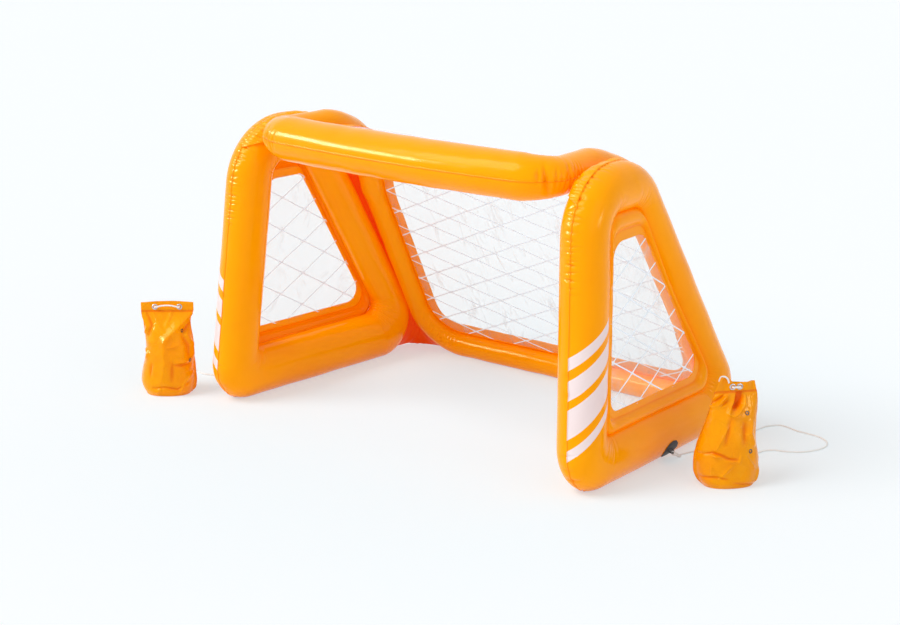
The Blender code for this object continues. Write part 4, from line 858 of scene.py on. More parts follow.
class Ring:
    """x runs across and s runs up the back slope, over the shoulder and forward to the crossbar."""

    def __init__(self):
        self.turn = math.pi / 2 - RING_SLOPE
        tangent = SHOULDER_RADIUS * math.tan(0.5 * self.turn)
        self.slope_length = ROOF_HEIGHT / math.cos(RING_SLOPE) - tangent
        self.bend_length = SHOULDER_RADIUS * self.turn
        self.up_slope = np.array([-math.sin(RING_SLOPE), math.cos(RING_SLOPE)])
        start = np.array([RING_FOOT_Y, 0.0]) + self.up_slope * self.slope_length
        self.centre = start - np.array([math.cos(RING_SLOPE), math.sin(RING_SLOPE)]) * SHOULDER_RADIUS
        self.front = self.slope_length + self.bend_length + self.centre[0] - CROSSBAR_Y
        side = SideFrame("right")
        beside = side.place(0.5 * (POST_LEAN + TOP_BACK), FRAME_HEIGHT - 0.5 * FRAME_WIDTHS[2], 0)
        apart = 0.5 * (FRAME_THICKNESS + ARM_DIAMETER) + ARM_CLEARANCE
        self.arm_half = beside[0] - math.sqrt(apart**2 - (ROOF_HEIGHT - beside[2]) ** 2)
        self.crossbar_half = self.arm_half + CROSSBAR_OVERHANG
        self.outer, self.inner = (
            self.path(side, *row)
            for row in (
                (1, RING_FOOT_RADIUS, RING_FRONT_RADIUS), (-1, RING_FOOT_RADIUS - LEG_DIAMETER, 0.022),
            )
        )

    def place(self, x, s, n):
        x, s, n = (np.asarray(a, float) for a in (x, s, n))
        angle = RING_SLOPE + np.clip((s - self.slope_length) / SHOULDER_RADIUS, 0, self.turn)
        low = np.minimum(s, self.slope_length)
        ahead = np.maximum(s - self.slope_length - self.bend_length, 0)
        on_slope = s <= self.slope_length
        y = np.where(on_slope, RING_FOOT_Y + self.up_slope[0] * low,
                     self.centre[0] + np.cos(angle) * SHOULDER_RADIUS - ahead)
        z = np.where(on_slope, self.up_slope[1] * low, self.centre[1] + np.sin(angle) * SHOULDER_RADIUS)
        return np.stack(np.broadcast_arrays(x, y + np.cos(angle) * n, z + np.sin(angle) * n), axis=-1)

    def bow(self, x, s):
        share = np.clip((s - self.front) / CROSSBAR_DIAMETER + 1.0, 0.0, 1.0)
        return CROSSBAR_BOW * share * (1.0 - np.minimum(np.abs(x) / self.crossbar_half, 1.0) ** 2)

    def path(self, side, sign, foot_radius, front_radius):
        """The tube's outer seam, or its inner edge."""
        leg, arm, bar = (0.5 * d for d in (LEG_DIAMETER, ARM_DIAMETER, CROSSBAR_DIAMETER))
        leg_foot = side.place(RING_FOOT_Y, 0, 0)[0] - LEG_BULGE_IN - leg + LEG_TUCK
        foot_at = (0.5 * RING_FOOT_DIAMETER - FLOOR_FLAT) / math.cos(RING_SLOPE)
        right = [
            (leg_foot + sign * leg, foot_at - sign * 0.5 * RING_FOOT_DIAMETER),
            (self.arm_half + LEG_FLARE + sign * leg, self.slope_length - LEG_TOP_BELOW_BEND),
            (self.arm_half + sign * arm, self.slope_length + 0.85 * self.bend_length),
            (self.crossbar_half + (bar if sign > 0 else -arm), self.front + sign * bar),
        ]
        left = [(-x, s) for x, s in right]
        radii = [foot_radius, foot_radius, 0.3, 0.3, front_radius, front_radius, 0.3, 0.3]
        path = rounded_path(np.array(left[:1] + right + left[:0:-1]), radii, RING_STEPS)
        path[:, 1] += self.bow(path[:, 0], path[:, 1])
        return path

    def thickness(self):
        bend = 0.5 * (LEG_DIAMETER + ARM_DIAMETER)
        half = [LEG_DIAMETER, bend, ARM_DIAMETER]
        return along_edges([RING_FOOT_DIAMETER, *half, CROSSBAR_DIAMETER, *half[::-1]], RING_STEPS)

    def right_side(self, path):
        """A path's points on the right, from the back foot to the crossbar."""
        return path[corner_at(1, RING_STEPS) : corner_at(4, RING_STEPS) + ARC + 1]

    def tube(self):
        middle = 0.5 * (self.outer + self.inner)
        bends = bends_of(middle, RING_STEPS)
        close = [(start - 0.025, end + 0.025) for start, end in bends]
        close += [(start - 0.07, end + 0.07) for start, end in bends[4:6]]
        run, total, outer, inner, thick = evened(
            TUBE_STEP, middle, self.outer, self.inner, self.thickness(), close=close
        )
        depth = dents(run, total, self.creases(*bends))
        lift = seam_profile() - depth + ripples(run, total, 5, 0.0006)
        flat = swept(0.5 * (outer + inner), 0.5 * (outer - inner), ANGLES, lift)
        grid = self.place(flat[:, :, 0], flat[:, :, 1], np.sin(ANGLES) * (0.5 * thick[:, None] + lift))
        grid[:, :, 2] = settle(grid[:, :, 2])
        # The seam value darkens the weld line and, from the creases' depth, paints shade into the creases
        return skin("ring_tube", grid, True, seam=bell(ANGLES, 0, 0.035) + np.clip(depth / 0.008, 0, 0.6))

    def creases(self, foot_left, foot_right, leg_right, arm_right, bar_right, bar_left, arm_left, leg_left):
        """Puckers at the crossbar's ends, where the arms bend over, and at the foot's corners."""
        length = run_of(looped(0.5 * (self.outer + self.inner)))
        front = self.outer[:, 1] > self.front - 0.3
        groove, crease = (
            length[np.argmin(np.abs(self.outer[:, 0] - x) + 9 * ~front)] for x in (GROOVE_AT, CREASE_AT)
        )
        rows = []
        for start, end in ((bar_right[0], groove - 0.010), (crease + 0.020, bar_left[1])):
            rows.append((start - 0.05, end, 0.0085, 0.0062, 0.60))
            rows += [(start, end, 0.015, 0.0016, 0.8, face, 0.0040) for face in (1.6, -1.6)]
        for start, end in (foot_left, foot_right):
            rows.append((start - 0.02, end + 0.02, 0.013, 0.0026, 0.50))
            rows.append((start, end, 0.013, 0.0016, 0.6, -2.3, 0.0036))
        for bend in (leg_right, arm_right, arm_left, leg_left):
            rows += [(*bend, 0.022, 0.0018, 0.5, -1.5, 0.0050), (*bend, 0.018, 0.0018, 0.4)]
        random = np.random.default_rng(17)
        return [mark for row in rows for mark in pinches(random, *row)] + [
            (groove, 0.0046, 0.05, 0.55, 0.0120, 0.004), (groove + 0.013, 0.0034, 0.25, 0.30, 0.0060, 0.0),
            (crease, 0.0030, 0.05, 0.42, 0.0060, 0.002),
        ]

    def border(self):
        """The flange that is welded along the tube and carries the back window."""
        share = np.linspace(0, 1, 12)

        def shape(run, total, span):
            wave = 0.0005 * np.sin(run * 2 * math.pi * round(total / 0.09) / total)[:, None] * share**2
            return RING_FILM_SET_BACK + wave - 0.0006 * bell(share, 0.35, 0.08)

        groove = bell(share, 0, 0.06) + 0.5 * bell(share, 0.35, 0.05)
        return flange("back_window_flange", self, moved_in(self.inner, RING_BORDER), 0.007,
                      RING_FILM_SET_BACK, 0.5 * self.thickness(), share, shape, BORDER_THICKNESS, groove)

    def film(self):
        """The back window, from the foot over the shoulder to the crossbar, lapped on its flange."""
        edge = self.right_side(moved_in(self.inner, RING_BORDER - RING_FILM_LAP))
        run = run_of(edge)
        at = np.linspace(0, run[-1], BACK_FILM_ROWS)
        half, height = resampled(at, run, edge)[0].T
        across = np.linspace(-1, 1, BACK_FILM_COLUMNS)
        x = np.outer(half, across)
        s = height[:, None] + self.bow(x, height[:, None]) - self.bow(half, height)[:, None]
        end = np.clip(np.minimum(at, run[-1] - at) / 0.08, 0, 1)[:, None]
        sag = np.sin(23 * x + 31 * s) * np.sin(29 * s - 11 * x) * 0.0014 - 0.0016
        sag += np.sin(61 * x - 47 * s) * np.sin(9 * s + 5) * 0.0006
        level = RING_FILM_SET_BACK - 2 * GAP - 0.5 * FILM_THICKNESS + sag * (1 - np.abs(across) ** 5) * end
        grid, uv = self.place(x, s, level), np.stack([x, s], axis=-1)
        uv = np.concatenate([uv, uv[:, ::-1]], axis=1)
        return skin("back_window_film", thicken(grid, FILM_THICKNESS), uv=uv), grid


# Webs

# How far the webs reach past the seams, and the space between the rows and the gathers of the top webs
SEAM_LAP, TOP_WEB_STEP, GATHER_STEP = 0.0012, 0.0014, 0.0055
CORNER_WEB_ROWS = 150


def top_web(side, ring):
    """The gathered sheet from a side frame's top seam to the ring's outer seam."""
    first = corner_at(2, FRAME_STEPS) + ARC // 3
    index = np.arange(first, corner_at(3, FRAME_STEPS) + ARC - ARC // 6 + 1)
    index = index[(side.outer[index, 0] > TOP_BACK * 0.5) | (side.outer[index, 1] > TOP_WEB_FOOT)]
    out, inn = side.outer[index], side.inner[index]
    run = run_of(0.5 * (out + inn))
    at = np.linspace(0, run[-1], round(run[-1] / TOP_WEB_STEP))
    out, inn, bulge = resampled(at, run, out, inn, side.bulge_in[index])
    run = at
    edge = ring.right_side(moved_in(ring.outer, -0.5 * SEAM_LAP))
    runs = np.linspace(edge[-1, 1], ring.slope_length, 200)
    depths = ring.place(0, runs, 0)[:, 1]
    random = np.random.default_rng(41 + side.side)
    knots = np.arange(0, run[-1] + 0.02, GATHER_STEP)
    gather = np.interp(run, knots, random.normal(0, 1, len(knots)))
    gather = np.convolve(gather, np.ones(3) / 3, mode="same")
    share = np.linspace(0, 1, 26)
    angle = TOP_WEB_ARC * share
    lift = 0.0040 * np.sin(math.pi * share) * np.maximum(0.0, 0.5 + 0.6 * gather)[:, None]
    lift = 0.5 * TOP_WEB_LIFT + lift
    lift[:, 0] = 0.0004
    flat = swept(0.5 * (out + inn), 0.5 * (out - inn), angle, lift)
    rows, free = [], np.linspace(0, 1, 12)[1:, None]
    hugging = side.place(flat[:, :, 0], flat[:, :, 1], -(bulge[:, None] + lift) * np.sin(angle))
    for hug, loose in zip(hugging, gather):
        start, target = hug[-1], hug[-1] + (hug[-1] - hug[-2]) * 4
        if start[1] > depths[0]:
            s = np.interp(start[1], depths, runs)
            target = ring.place(side.side * np.interp(s, edge[:, 1], edge[:, 0]), s, 0)
        across = start + (target - start) * free
        across[:, 2] += 0.0045 * loose * np.sin(math.pi * free[:, 0])
        rows.append(np.vstack([hug, across]))
    grid = np.array(rows)
    normal = normals(grid)
    normal *= np.sign(normal[len(rows) // 2, len(share) // 2] @ -side.out) or 1.0
    width = np.cumsum(np.linalg.norm(np.gradient(grid, axis=1), axis=2), axis=1)
    u = np.broadcast_to(run[:, None], width.shape)
    share = np.linspace(0, 1, grid.shape[1])
    ruffle = np.abs((u / 0.0078 + 0.35 * np.sin(u * 90) + 0.3 * share) % 1 - 0.5) * 2
    lift = 0.5 * crumple(u, width, 61 + side.side, 0.0060) + 0.0042 * ruffle * (0.6 + 0.4 * np.sin(u * 37))
    grid = grid + normal * np.maximum(lift * np.sin(math.pi * share) ** 0.6, -0.0004)[:, :, None]
    narrow = 0.10 + 0.90 * np.clip((run[-1] - run) / TOP_WEB_TAPER, 0, 1) ** 0.8
    return np.array([resampled(share * wide, share, row)[0] for row, wide in zip(grid, narrow)])


def corner_web(side, ring):
    """The sheet from a side frame's back seam to the ring's outer seam, spread on the floor."""
    start, end = corner_at(1, FRAME_STEPS), corner_at(2, FRAME_STEPS) + ARC // 2
    seam = moved_in(side.outer, -SEAM_LAP)[start + 6 : end]
    edge = ring.right_side(moved_in(ring.outer, -SEAM_LAP))
    back = np.array([0, math.cos(RING_SLOPE), math.sin(RING_SLOPE)])
    corner = side.place(FRAME_DEPTH - WEB_CORNER_AHEAD, 0, 0)
    rows, count, share = [], CORNER_WEB_ROWS, np.linspace(0, 1, 31)[:, None]
    random = np.random.default_rng(53 + side.side)
    knots = np.arange(0, count + 9, 7)
    wave = np.interp(np.arange(count), knots, random.normal(0, 1, len(knots)))
    for k in range(count):
        height = (FRAME_HEIGHT - WEB_BELOW_SEAM) * (k / (count - 1)) ** 1.5
        spread = max(0.0, 1.0 - height / FRAME_RADII[1])
        v, s = height / math.cos(LEAN) + SEAM_LAP, height / math.cos(RING_SLOPE) + SEAM_LAP
        a = side.place(np.interp(v, seam[:, 1], seam[:, 0]), v, 0)
        b = ring.place(side.side * np.interp(s, edge[:, 1], edge[:, 0]), s, 0)
        crest = 0.5 * (a + b) + back * (WEB_BULGE + 0.003 * wave[k])
        crest = crest + (np.array([corner[0], corner[1], height]) - crest) * spread
        row = a * (1 - share) ** 2 + 2 * (2 * crest - 0.5 * (a + b)) * share * (1 - share) + b * share**2
        fold = np.sin(share * 19 + 0.12 * k) + 0.7 * np.sin(share * 33 - 0.21 * k + 1)
        row = row + back * 0.0035 * np.sin(share * math.pi) * fold * (0.35 + 0.65 * spread)
        if height < 0.004:
            row[:, 2] = 0.5 * WEB_THICKNESS + GAP + height + 0.0015 * np.abs(np.sin(share[:, 0] * 21))
        rows.append(row)
    grid = np.array(rows)
    grid[:, :, 2] = np.maximum(grid[:, :, 2], 0.5 * WEB_THICKNESS + GAP)
    return grid


# Weight bags

# Folds of the filled bags on the front and the back: height and half width of the fold, then the
# places (x, z) that it runs through, all in millimetres in the bag's own frame
LOW_BACK_FOLDS = [
    (-3.4, 8, (0, 158), (6, 74)), (3.4, 5, (-46, 116), (12, 102)), (-3.0, 4, (-42, 30), (36, 24)),
]
FOLDS = {
    ("left", "front"): [
        (6.5, 15, (70, 242), (34, 208), (5, 178), (-7, 160)),
        (5.0, 16, (-7, 166), (-11, 136), (-8, 105), (-16, 50)),
        (-5.0, 8, (72, 226), (52, 200), (44, 182)), (3.4, 5, (64, 216), (44, 200)),
        (4.6, 5, (-73, 230), (-56, 199), (-66, 176)), (-3.6, 6, (-60, 236), (-46, 204), (-56, 176)),
        (4.0, 5, (-64, 134), (-56, 124), (-64, 108)), (4.0, 6, (52, 178), (67, 152), (69, 126), (71, 100)),
        (-4.0, 6, (44, 172), (58, 148), (60, 120)), (2.8, 4, (1, 145), (28, 149)),
        (3.4, 4, (23, 101), (57, 103)), (-3.2, 6, (24, 94), (60, 94)), (-3.4, 7, (14, 100), (11, 48)),
        (3.4, 4, (41, 30), (68, 68)), (-3.2, 4, (-45, 25), (-8, 30), (27, 22), (56, 38)),
        (2.8, 5, (-42, 241), (-27, 210), (-12, 190)), (2.6, 5, (12, 241), (-4, 203)),
        (2.6, 4, (30, 8), (44, 34)), (2.4, 4, (-36, 8), (-22, 24)), (-2.6, 6, (-46, 96), (-52, 60)),
    ],
    ("left", "back"): [
        (5.5, 12, (-68, 240), (-34, 206), (-10, 172)), (5.0, 12, (64, 240), (36, 204), (14, 170)),
        *LOW_BACK_FOLDS,
    ],
    ("right", "front"): [
        (-17.0, 8, (25, 243), (23, 230), (16, 214), (8, 207)), (-5.0, 5, (20, 240), (15, 228), (17, 216)),
        (7.5, 4.5, (34, 243), (36, 232), (34, 214), (16, 193), (2, 187),
         (-8, 193), (-4, 205), (7, 219), (14, 236)),
        (5.4, 4, (-50, 207), (-29, 212), (-11, 231), (-2, 240)), (4.6, 4, (-36, 205), (-12, 211)),
        (4.4, 4, (-43, 226), (-17, 244)), (-4.6, 4, (-46, 215), (-18, 235)), (-4.0, 4, (-30, 206), (-8, 222)),
        (5.0, 11, (-43, 204), (-44, 181), (-63, 142), (-80, 94)), (2.8, 3, (-15, 160), (-47, 104)),
        (-4.0, 4, (-82, 90), (-55, 98), (-34, 92), (-15, 82), (8, 79)), (4.0, 3.5, (-54, 90), (-36, 87)),
        (2.6, 3, (-17, 77), (6, 73)), (3.0, 3.5, (-57, 66), (-56, 42)), (3.6, 3.5, (-7, 64), (-38, 29)),
        (4.6, 7, (51, 166), (44, 143), (56, 112)), (-3.6, 8, (30, 168), (28, 120)),
        (3.0, 4, (34, 141), (53, 114)), (-3.4, 4, (-76, 30), (-49, 34), (-18, 29)),
        (-3.0, 4, (2, 15), (60, 6)), (3.0, 3.5, (32, 86), (60, 46)), (3.0, 4, (64, 6), (74, 42)),
        (2.6, 3.5, (17, 88), (13, 68)), (-3.0, 7, (-4, 180), (-24, 120)),
    ],
    ("right", "back"): [
        (-10.0, 8, (22, 243), (18, 204)), (6.0, 6, (38, 240), (34, 198)), (5.4, 6, (4, 240), (-14, 196)),
        *LOW_BACK_FOLDS,
    ],
}
# Rise of the hem's upper edge along it, from its left end at -1 to its right end at 1
HEM_RISES = {
    "left": ((-1.0, -0.4, 0.2, 1.0), (0.0, 0.0030, 0.0032, 0.0004)),
    "right": ((-1.0, -0.75, -0.5, -0.22, 0.1, 0.35, 1.0),
              (0.0145, 0.0145, 0.008, -0.005, -0.004, -0.002, 0.0)),
}
# Width of the welded fins on the left and the right of each bag, at shares of its height
FINS = {
    "left": (((0.0, 0.1, 0.3, 1.0), (0.001, 0.0025, 0.0020, 0.0020)),
             ((0.0, 0.04, 0.07, 0.36, 0.44, 1.0), (0.002, 0.008, 0.0085, 0.0050, 0.0020, 0.0020))),
    "right": (((0.0, 0.04, 0.08, 0.35, 0.38, 0.42, 1.0),
               (0.001, 0.0045, 0.0060, 0.0065, 0.0055, 0.0016, 0.0016)),
              ((0.0, 0.15, 0.26, 0.36, 1.0), (0.001, 0.0020, 0.0045, 0.0016, 0.0014))),
}
CRUMPLE_SEEDS, BAG_CRUMPLE = {"left": 3, "right": 4}, 0.0013
# Metres of lift for each millimetre of a fold's height, share of its half width, and its falloff
FOLD_LIFT, FOLD_SPREAD, FOLD_FALLOFF = 0.00165, 0.80, 1.4
# Where the hem's skin starts above the body, and the least half depth of the body
HEM_START, BAG_EDGE = 0.0015, 0.0012


def fold_height(name, x, z, face):
    """How far the folds lift the skin at places (x, z) on one face of a bag."""
    out = np.zeros_like(x)
    here = np.stack([x, z], axis=-1) * 1000
    for height, wide, *places in FOLDS[name, face]:
        nearest, taper, total = np.full_like(x, 1e9), np.ones_like(x), len(places) - 1
        for k in range(total):
            start, line = np.array(places[k], float), np.subtract(places[k + 1], places[k])
            along = np.clip(((here - start) @ line) / (line @ line), 0, 1)
            away = np.linalg.norm(here - start - along[..., None] * line, axis=-1)
            taper = np.where(away < nearest, np.sin(math.pi * (0.1 + 0.8 * (k + along) / total)), taper)
            nearest = np.minimum(nearest, away)
        falloff = np.exp(-((nearest / (FOLD_SPREAD * wide)) ** FOLD_FALLOFF))
        out += FOLD_LIFT * height * (0.3 + 0.7 * taper) * falloff
    return out


def bag_surface(name, angle, t):
    """Points of the filled bag, in its own frame, at angles round it and shares of its height."""
    lean, wide, deep = bag_section(name, t)
    c, s, z, seed = np.cos(angle), np.sin(angle), t * BAG_HEIGHT, CRUMPLE_SEEDS[name]
    x = lean + wide * np.sign(c) * np.abs(c) ** 0.82
    y = deep * np.sign(s) * np.abs(s) ** (0.84 + 0.3 * np.clip((t - 0.45) / 0.5, 0, 1))
    front, back = (
        fold_height(name, x, z, face) + crumple(x, z, seed + more, BAG_CRUMPLE)
        for face, more in (("front", 0), ("back", 10))
    )
    top = np.clip((1.0 - t) / 0.04, 0.0, 1.0)
    out = np.where(s < 0, front, back) * np.clip(np.abs(s) / 0.2, 0, 1) * top * np.clip(t / 0.04, 0.15, 1.0)
    lifted = out * np.abs(s)
    y = np.where(s < 0, np.minimum(y - lifted, -BAG_EDGE), np.maximum(y + lifted, BAG_EDGE))
    left, right = (np.interp(t, *fin) for fin in FINS[name])
    edge = bell(s, 0, 0.055) * (0.3 + 0.7 * top)
    x = x + out * c + np.sign(c) * np.where(c > 0, right, left) * edge
    y = np.where(np.abs(s) < 1e-6, 0.0016 * np.sin(t * 17 + seed), y)
    return np.stack([x, y, z], axis=-1)


def hem_surface(name, angles, share):
    """One row of the hem's skin, at a share of its height."""
    c, s = np.cos(angles), np.sin(angles)
    across = np.sign(c) * np.abs(c) ** 0.8
    depth = 0.5 * HEM_DEPTH * (0.72 - 0.30 * share) * (0.45 if share == 0 else 1.0)
    wave, slim, drift = 0.0016 * np.sin(3.4 * c + 0.6) * share, 0.0, 0.0
    if name == "right":
        still = np.clip((np.abs(across) - 0.3) / 0.3, 0, 1)
        wave, slim, drift = 0.0040 * np.sin(8.5 * across + 0.5) * still, -0.17, 0.0040
    wide = BAG_WIDTHS[name][-1] * BAG_HALF_WIDTH * (1.003 + slim * share)
    y = depth * np.sign(s) * np.abs(s) ** 0.9 + wave * min(1.0, 0.3 + share)
    rise = np.interp(across, *HEM_RISES[name])
    x = bag_lean(name, 1.0) + wide * across + drift * share
    return np.stack([x, y, BAG_HEIGHT + HEM_START + (HEM_HEIGHT + rise) * share], axis=-1)


def weight_bag(name):
    """Body and hem of one bag as a single skin, with the hem's weld line pressed in and painted shade in the
    hollows of its front folds.
    """
    quarter = np.concatenate([[0.0, 0.012, 0.028, 0.05, 0.08, 0.12], np.linspace(0.17, math.pi / 2, 38)])
    half = np.concatenate([quarter, math.pi - quarter[-2:0:-1]])
    angles = np.unique(np.round(np.concatenate([half, half - math.pi]), 6))
    t = np.concatenate([0.03 * np.linspace(0, 1, 12)[:-1] ** 1.6, np.linspace(0.03, 1.0, 120)])
    a, h = np.meshgrid(angles, t)
    bag = bag_surface(name, a, h)
    base = [bag[:1] * np.array([share, share, 0.0]) for share in (0.04, 0.3, 0.6, 0.85)]
    hem = [hem_surface(name, angles, share) for share in np.linspace(0, 1, 12)]
    grid = np.concatenate([*base, bag, np.array(hem)])
    weld = np.zeros(grid.shape[:2])
    top = len(base) + len(t)
    weld[top - 2 : top + 1] = 1.0
    weld += bell(np.sin(angles), 0, 0.05) * 0.6
    # Painted shade in the hollows of the front folds, carried in the weld value
    painted_hollow_shade = np.clip(-fold_height(name, bag[:, :, 0], bag[:, :, 2], "front") / 0.005, 0, 1.6)
    weld[len(base) : top] += np.where(np.sin(a) < 0, painted_hollow_shade, 0)
    grid = stood(name, grid)
    grid[:, :, 2] = np.maximum(grid[:, :, 2], 0.0)
    return skin(f"{name}_weight_bag", grid, weld=weld)


def add_eyelet(bag, name, node, radius, hole, finish, origin, normal, across):
    """A rolled eyelet that sits at a point of a bag, square to the normal there."""
    turns, roll = (np.linspace(0, 2 * math.pi, count, endpoint=False) for count in (40, 14))
    ring = 0.5 * (radius + hole) + 0.5 * (radius - hole) * np.cos(roll)
    height = GROMMET_THICKNESS * np.maximum(0.55 + 0.62 * np.sin(roll), 0.0)
    grid = np.stack(
        [np.outer(np.cos(turns), ring), np.outer(np.sin(turns), ring), np.tile(height, (40, 1))], axis=-1
    )
    z = np.asarray(normal, float) / np.linalg.norm(normal)
    y = np.cross(z, across)
    y /= np.linalg.norm(y)
    grid = stood(bag, grid @ np.array([np.cross(y, z), y, z]) + origin)
    add_piece(skin(name, grid, True), finish, f"{bag}_bag_on_cord", node)


# Knots and lacing


def trefoil(centre, size):
    t = np.linspace(0, 2 * math.pi, 90)
    x, y = np.sin(t) + 2 * np.sin(2 * t), np.cos(t) - 2 * np.cos(2 * t)
    return np.stack([x / 3, y / 3, -np.sin(3 * t) * 0.45], axis=1) * size + centre


def patch_seat(side, lift):
    """The point on the foot's skin where the tie patch sits, and the normal there."""
    half, deep = 0.5 * FRAME_WIDTHS[0], 0.5 * FRAME_THICKNESS
    c, s, lift = math.cos(PATCH_ANGLE), math.sin(PATCH_ANGLE), PATCH_LIFT + lift
    normal = side.out * (s / deep) - side.rise * (c / half)
    return side.place(PATCH_U, half - (half + lift) * c, (deep + lift) * s), normal / np.linalg.norm(normal)


def dress_cord_ends(name, body):
    """The knot at the tie patch, and the strands through its loop."""
    centre = np.array(sum(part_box(f"{name}_cord_knot"), Vector())) / 2 + MIDDLE
    thin = {"radius": KNOT_WIRE, "sides": 12}
    path = trefoil(centre, KNOT_RADIUS - KNOT_WIRE)
    knot = add_cord(f"{name}_knot", path, body, f"{name}_cord_knot", **thin)
    side = SideFrame(name)
    seat, z = patch_seat(side, PATCH_THICKNESS + GAP)
    y = np.cross(z, side.along)
    y /= np.linalg.norm(y)
    top = seat + z * (LOOP_FOOT + LOOP_RADIUS)
    ring = LOOP_WIRE + KNOT_WIRE + GAP
    through = [
        top + ring * (y * a + z * b)
        for a, b in ((1, 0.3), (0.55, -0.8), (-0.2, -1.02), (-0.95, -0.5), (-1.05, 0.4))
    ]
    toward = centre - top
    (first, last), near = (
        [middle + side.along * k * apart + y * k * aside for k in (-1, 1)]
        for middle, apart, aside in (
            (centre - toward * 0.05, 0.0025, 0.0), (top + toward * 0.45, 0.003, 0.0015),
        )
    )
    if np.linalg.norm(through[0] - near[0]) > np.linalg.norm(through[-1] - near[0]):
        through = through[::-1]
    path = smooth_route([first, near[0], *through, near[1], last], HITCH_STEP, KNOT_WIRE + GAP)
    add_cord(f"{name}_hitch", path, GOAL, f"{name}_cord_hitch", **thin)
    return knot


# Assembly


def dress_side(name, ring):
    side = SideFrame(name)
    tube = add_piece(side.tube(), "striped_vinyl", GOAL, f"{name}_side_frame")
    add_piece(side.border(), "orange_vinyl", GOAL, f"{name}_window_border")
    film = add_piece(side.film(), "side_film", GOAL, f"{name}_window")
    edge = side.window_edge(FILM_LAP)
    for part, grid, finish in (
        ("top_web", top_web(side, ring), "web_vinyl"),
        ("corner_web", corner_web(side, ring), "red_orange_vinyl"),
    ):
        mesh = skin(f"{name}_{part}_sheet", thicken(grid, WEB_THICKNESS))
        web = add_piece(mesh, finish, GOAL, f"{name}_{part}")


# Where the drawcord shows above the gathered hem of the right bag, in the bag's own frame
DRAWCORD_ARC = [
    (-0.0270, 0.0020, 0.2690), (-0.0262, 0.0010, 0.2764), (-0.0225, -0.0005, 0.2816),
    (-0.0160, -0.0020, 0.2826), (-0.0100, -0.0030, 0.2796), (-0.0055, -0.0030, 0.2735),
    (-0.0030, -0.0020, 0.2650),
]
# Half of the lacing's strand: how far across, out and up, the first and the last of these as shares
# of the grommets' half spacing
LACING = [(0.97, 0.0040, 0.011), (0.75, 0.0055, 0.078), (0.4, 0.0060, 0.153)]


def dress_bag(name):
    body = f"{name}_bag_on_cord"
    bag = add_piece(weight_bag(name), "bag_vinyl", body, f"{name}_bag_body", f"{name}_bag_hem")
    deep, reach, centre = 0.5 * HEM_DEPTH, GROMMET_HALF_SPACING[name], bag_lean(name, 1.0)
    for face, ahead in (("front", -1), ("back", 1)):
        for hand, across in SIDES.items():
            seat = centre + across * reach, ahead * 0.55 * deep, GROMMET_HEIGHT
            add_eyelet(name, f"{name}_{face}_{hand}_grommet", f"{name}_{face}_grommet_{hand}", GROMMET_RADIUS,
                       GROMMET_HOLE, "plated_eyelet", seat, (0, ahead, 0), (1, 0, 0))
    for which, (angle, height) in DRAINS[name].items():
        seat, *near = (
            bag_surface(name, np.array(angle + a), np.array(height + h))
            for a, h in ((0, 0), (0.02, 0), (-0.02, 0), (0, 0.02), (0, -0.02))
        )
        across, rise = near[0] - near[1], near[2] - near[3]
        add_eyelet(name, f"{name}_{which}_drain", f"{name}_drain_eyelet_{which}", DRAIN_RADIUS, DRAIN_HOLE,
                   "dark_eyelet", seat, np.cross(across, rise), across)
    on_cord = [dress_cord_ends(name, body)]
    near = deep + GAP + GROMMET_THICKNESS
    half = [(1.0, -0.2 * deep - near, 0.0), (1.0, GAP, 0.0), *LACING]
    strand = [(-x, y, z) for x, y, z in half] + [(0.0, 0.0062, 0.18)] + half[::-1]
    strand = [(centre + x * reach, -(near + y), GROMMET_HEIGHT + z * reach) for x, y, z in strand]
    lacing = smooth_route(stood(name, strand), STRAND_STEP)
    on_cord.append(add_cord(f"{name}_lacing", lacing, body, f"{name}_bag_lacing"))
    if name == "right":
        arc = smooth_route(stood(name, DRAWCORD_ARC), STRAND_STEP)
        on_cord.append(add_cord(f"{name}_drawcord", arc, body))
    cord, route = CORDS[name]
    length, route = float(run_of(route)[-1]), route - MIDDLE


def dress_ring():
    ring = Ring()
    tube = add_piece(ring.tube(), "orange_vinyl", GOAL, "over_ring")
    add_piece(ring.border(), "orange_vinyl", GOAL, "back_window_border")
    mesh, grid = ring.film()
    film = add_piece(mesh, "back_film", GOAL, "back_window")
    return ring


def refinish_fittings():
    """Valves and tie patches keep their CAD solids and get their own finishes."""
    for node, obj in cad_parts.items():
        for word, finish in (("valve", "valve_vinyl"), ("tie_", "black_rubber")):
            if word in node:
                obj.data.materials.clear()
                obj.data.materials.append(FINISHES[finish])


FLOOR_HALF, FLOOR_BELOW = 60.0, 0.0002
# How far the floor and its shadows are lifted towards white where they are seen
FLOOR_LIFT = 0.5
WHITE, BLACK, SURROUND = (1.0, 1.0, 1.0, 1.0), (0.0, 0.0, 0.0, 1.0), linear(250, 253, 255)
WORLD_LIGHT = 0.51
# Name, direction, strength and spread in degrees
SUNS = (("key_lamp", (-0.40, -0.60, 0.80), 2.0, 36.0), ("side_lamp", (0.85, -0.20, 0.45), 0.28, 40.0))
# Soft boxes that only show in reflections: name, place, width and height, and how bright their faces
# are beside white
SOFTBOXES = (
    ("left_softbox", (-3.1, -2.9, 2.3), 1.9, 0.75, 38.0), ("right_softbox", (4.2, 0.6, 1.5), 0.8, 0.40, 14.0),
)
SOFTBOX_AIM = (0.0, -0.2, 0.5)


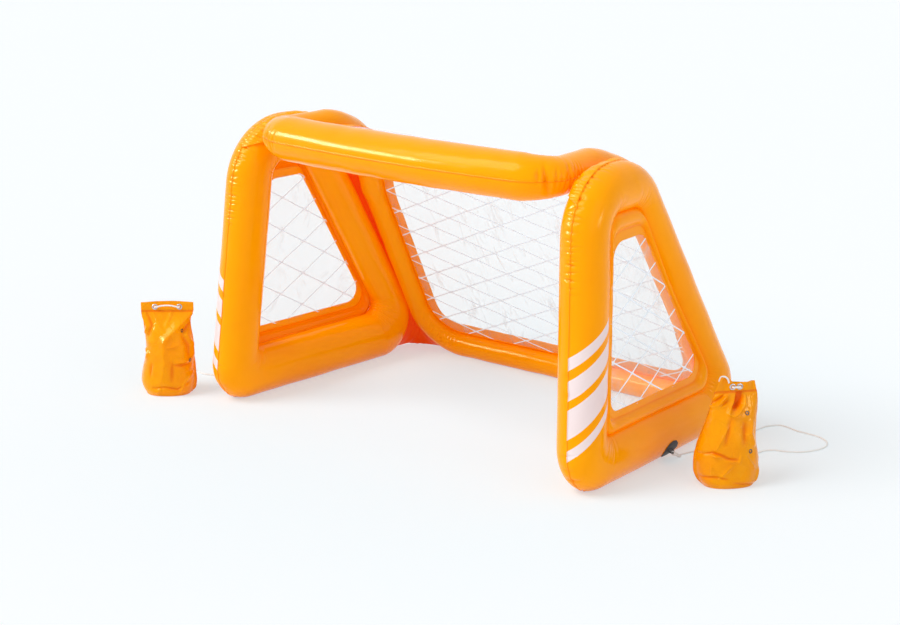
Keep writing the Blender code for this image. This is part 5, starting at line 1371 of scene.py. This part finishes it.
def make_floor():
    """A pale floor that keeps soft shadows."""
    mesh = bpy.data.meshes.new("studio_floor")
    corners = [(x * FLOOR_HALF, y * FLOOR_HALF, 0) for x, y in ((-1, -1), (1, -1), (1, 1), (-1, 1))]
    mesh.from_pydata(corners, [], [(0, 1, 2, 3)])
    f = Finish("studio_floor", Specular_IOR_Level=0.0, Roughness=1.0, Emission_Strength=1.0)
    away = f.node("ShaderNodeVectorMath", {"operation": "LENGTH"}, {0: f.place()}, "Value")
    # Near the goal the floor is painted bluer and darker: painted shade that cancels the orange light bounced
    # onto it
    tone = away.step(0.4, 1.8) + f.noise(0.6, 1.0) * 0.02
    colour = f.mix(tone, linear(234, 248, 255), linear(249, 253, 255))
    seen = f.seen() * FLOOR_LIFT
    f.set("Base Color", f.mix(seen, colour, BLACK))
    f.set("Emission Color", f.mix(seen, BLACK, linear(249, 253, 255)))
    mesh.materials.append(f.owner)
    new_object("studio_floor", mesh, location=(0, 0, -FLOOR_BELOW))


def make_stage():
    """The floor, a white surround and plain soft lamps."""
    scene = bpy.context.scene
    scene.view_settings.view_transform = "Standard"
    make_floor()
    scene.world = bpy.data.worlds.new("studio")
    f = Finish("studio", scene.world, "World Output")
    f.tree.nodes.remove(f.tree.nodes["Background"])
    lit, shown = (
        f.node("ShaderNodeBackground", inputs={"Color": colour, "Strength": strength})
        for colour, strength in ((WHITE, WORLD_LIGHT), (SURROUND, 1.0))
    )
    f.set("Surface", f.node("ShaderNodeMixShader", inputs={0: f.seen(), 1: lit, 2: shown}))
    for name, toward, strength, spread in SUNS:
        lamp = bpy.data.lights.new(name, "SUN")
        lamp.energy, lamp.angle = strength, math.radians(spread)
        turn = Vector(toward).to_track_quat("Z", "Y")
        new_object(name, lamp, rotation_mode="QUATERNION", rotation_quaternion=turn)
    for name, place, width, height, radiance in SOFTBOXES:
        lamp = bpy.data.lights.new(name, "AREA")
        lamp.shape, lamp.size, lamp.size_y = "RECTANGLE", width, height
        lamp.energy = radiance * math.pi * width * height
        turn = (Vector(place) - Vector(SOFTBOX_AIM)).to_track_quat("Z", "Y")
        new_object(name, lamp, location=place, rotation_mode="QUATERNION", rotation_quaternion=turn,
                   visible_diffuse=False)


make_stage()
RING = dress_ring()
for NAME in SIDES:
    dress_side(NAME, RING)
    dress_bag(NAME)
refinish_fittings()
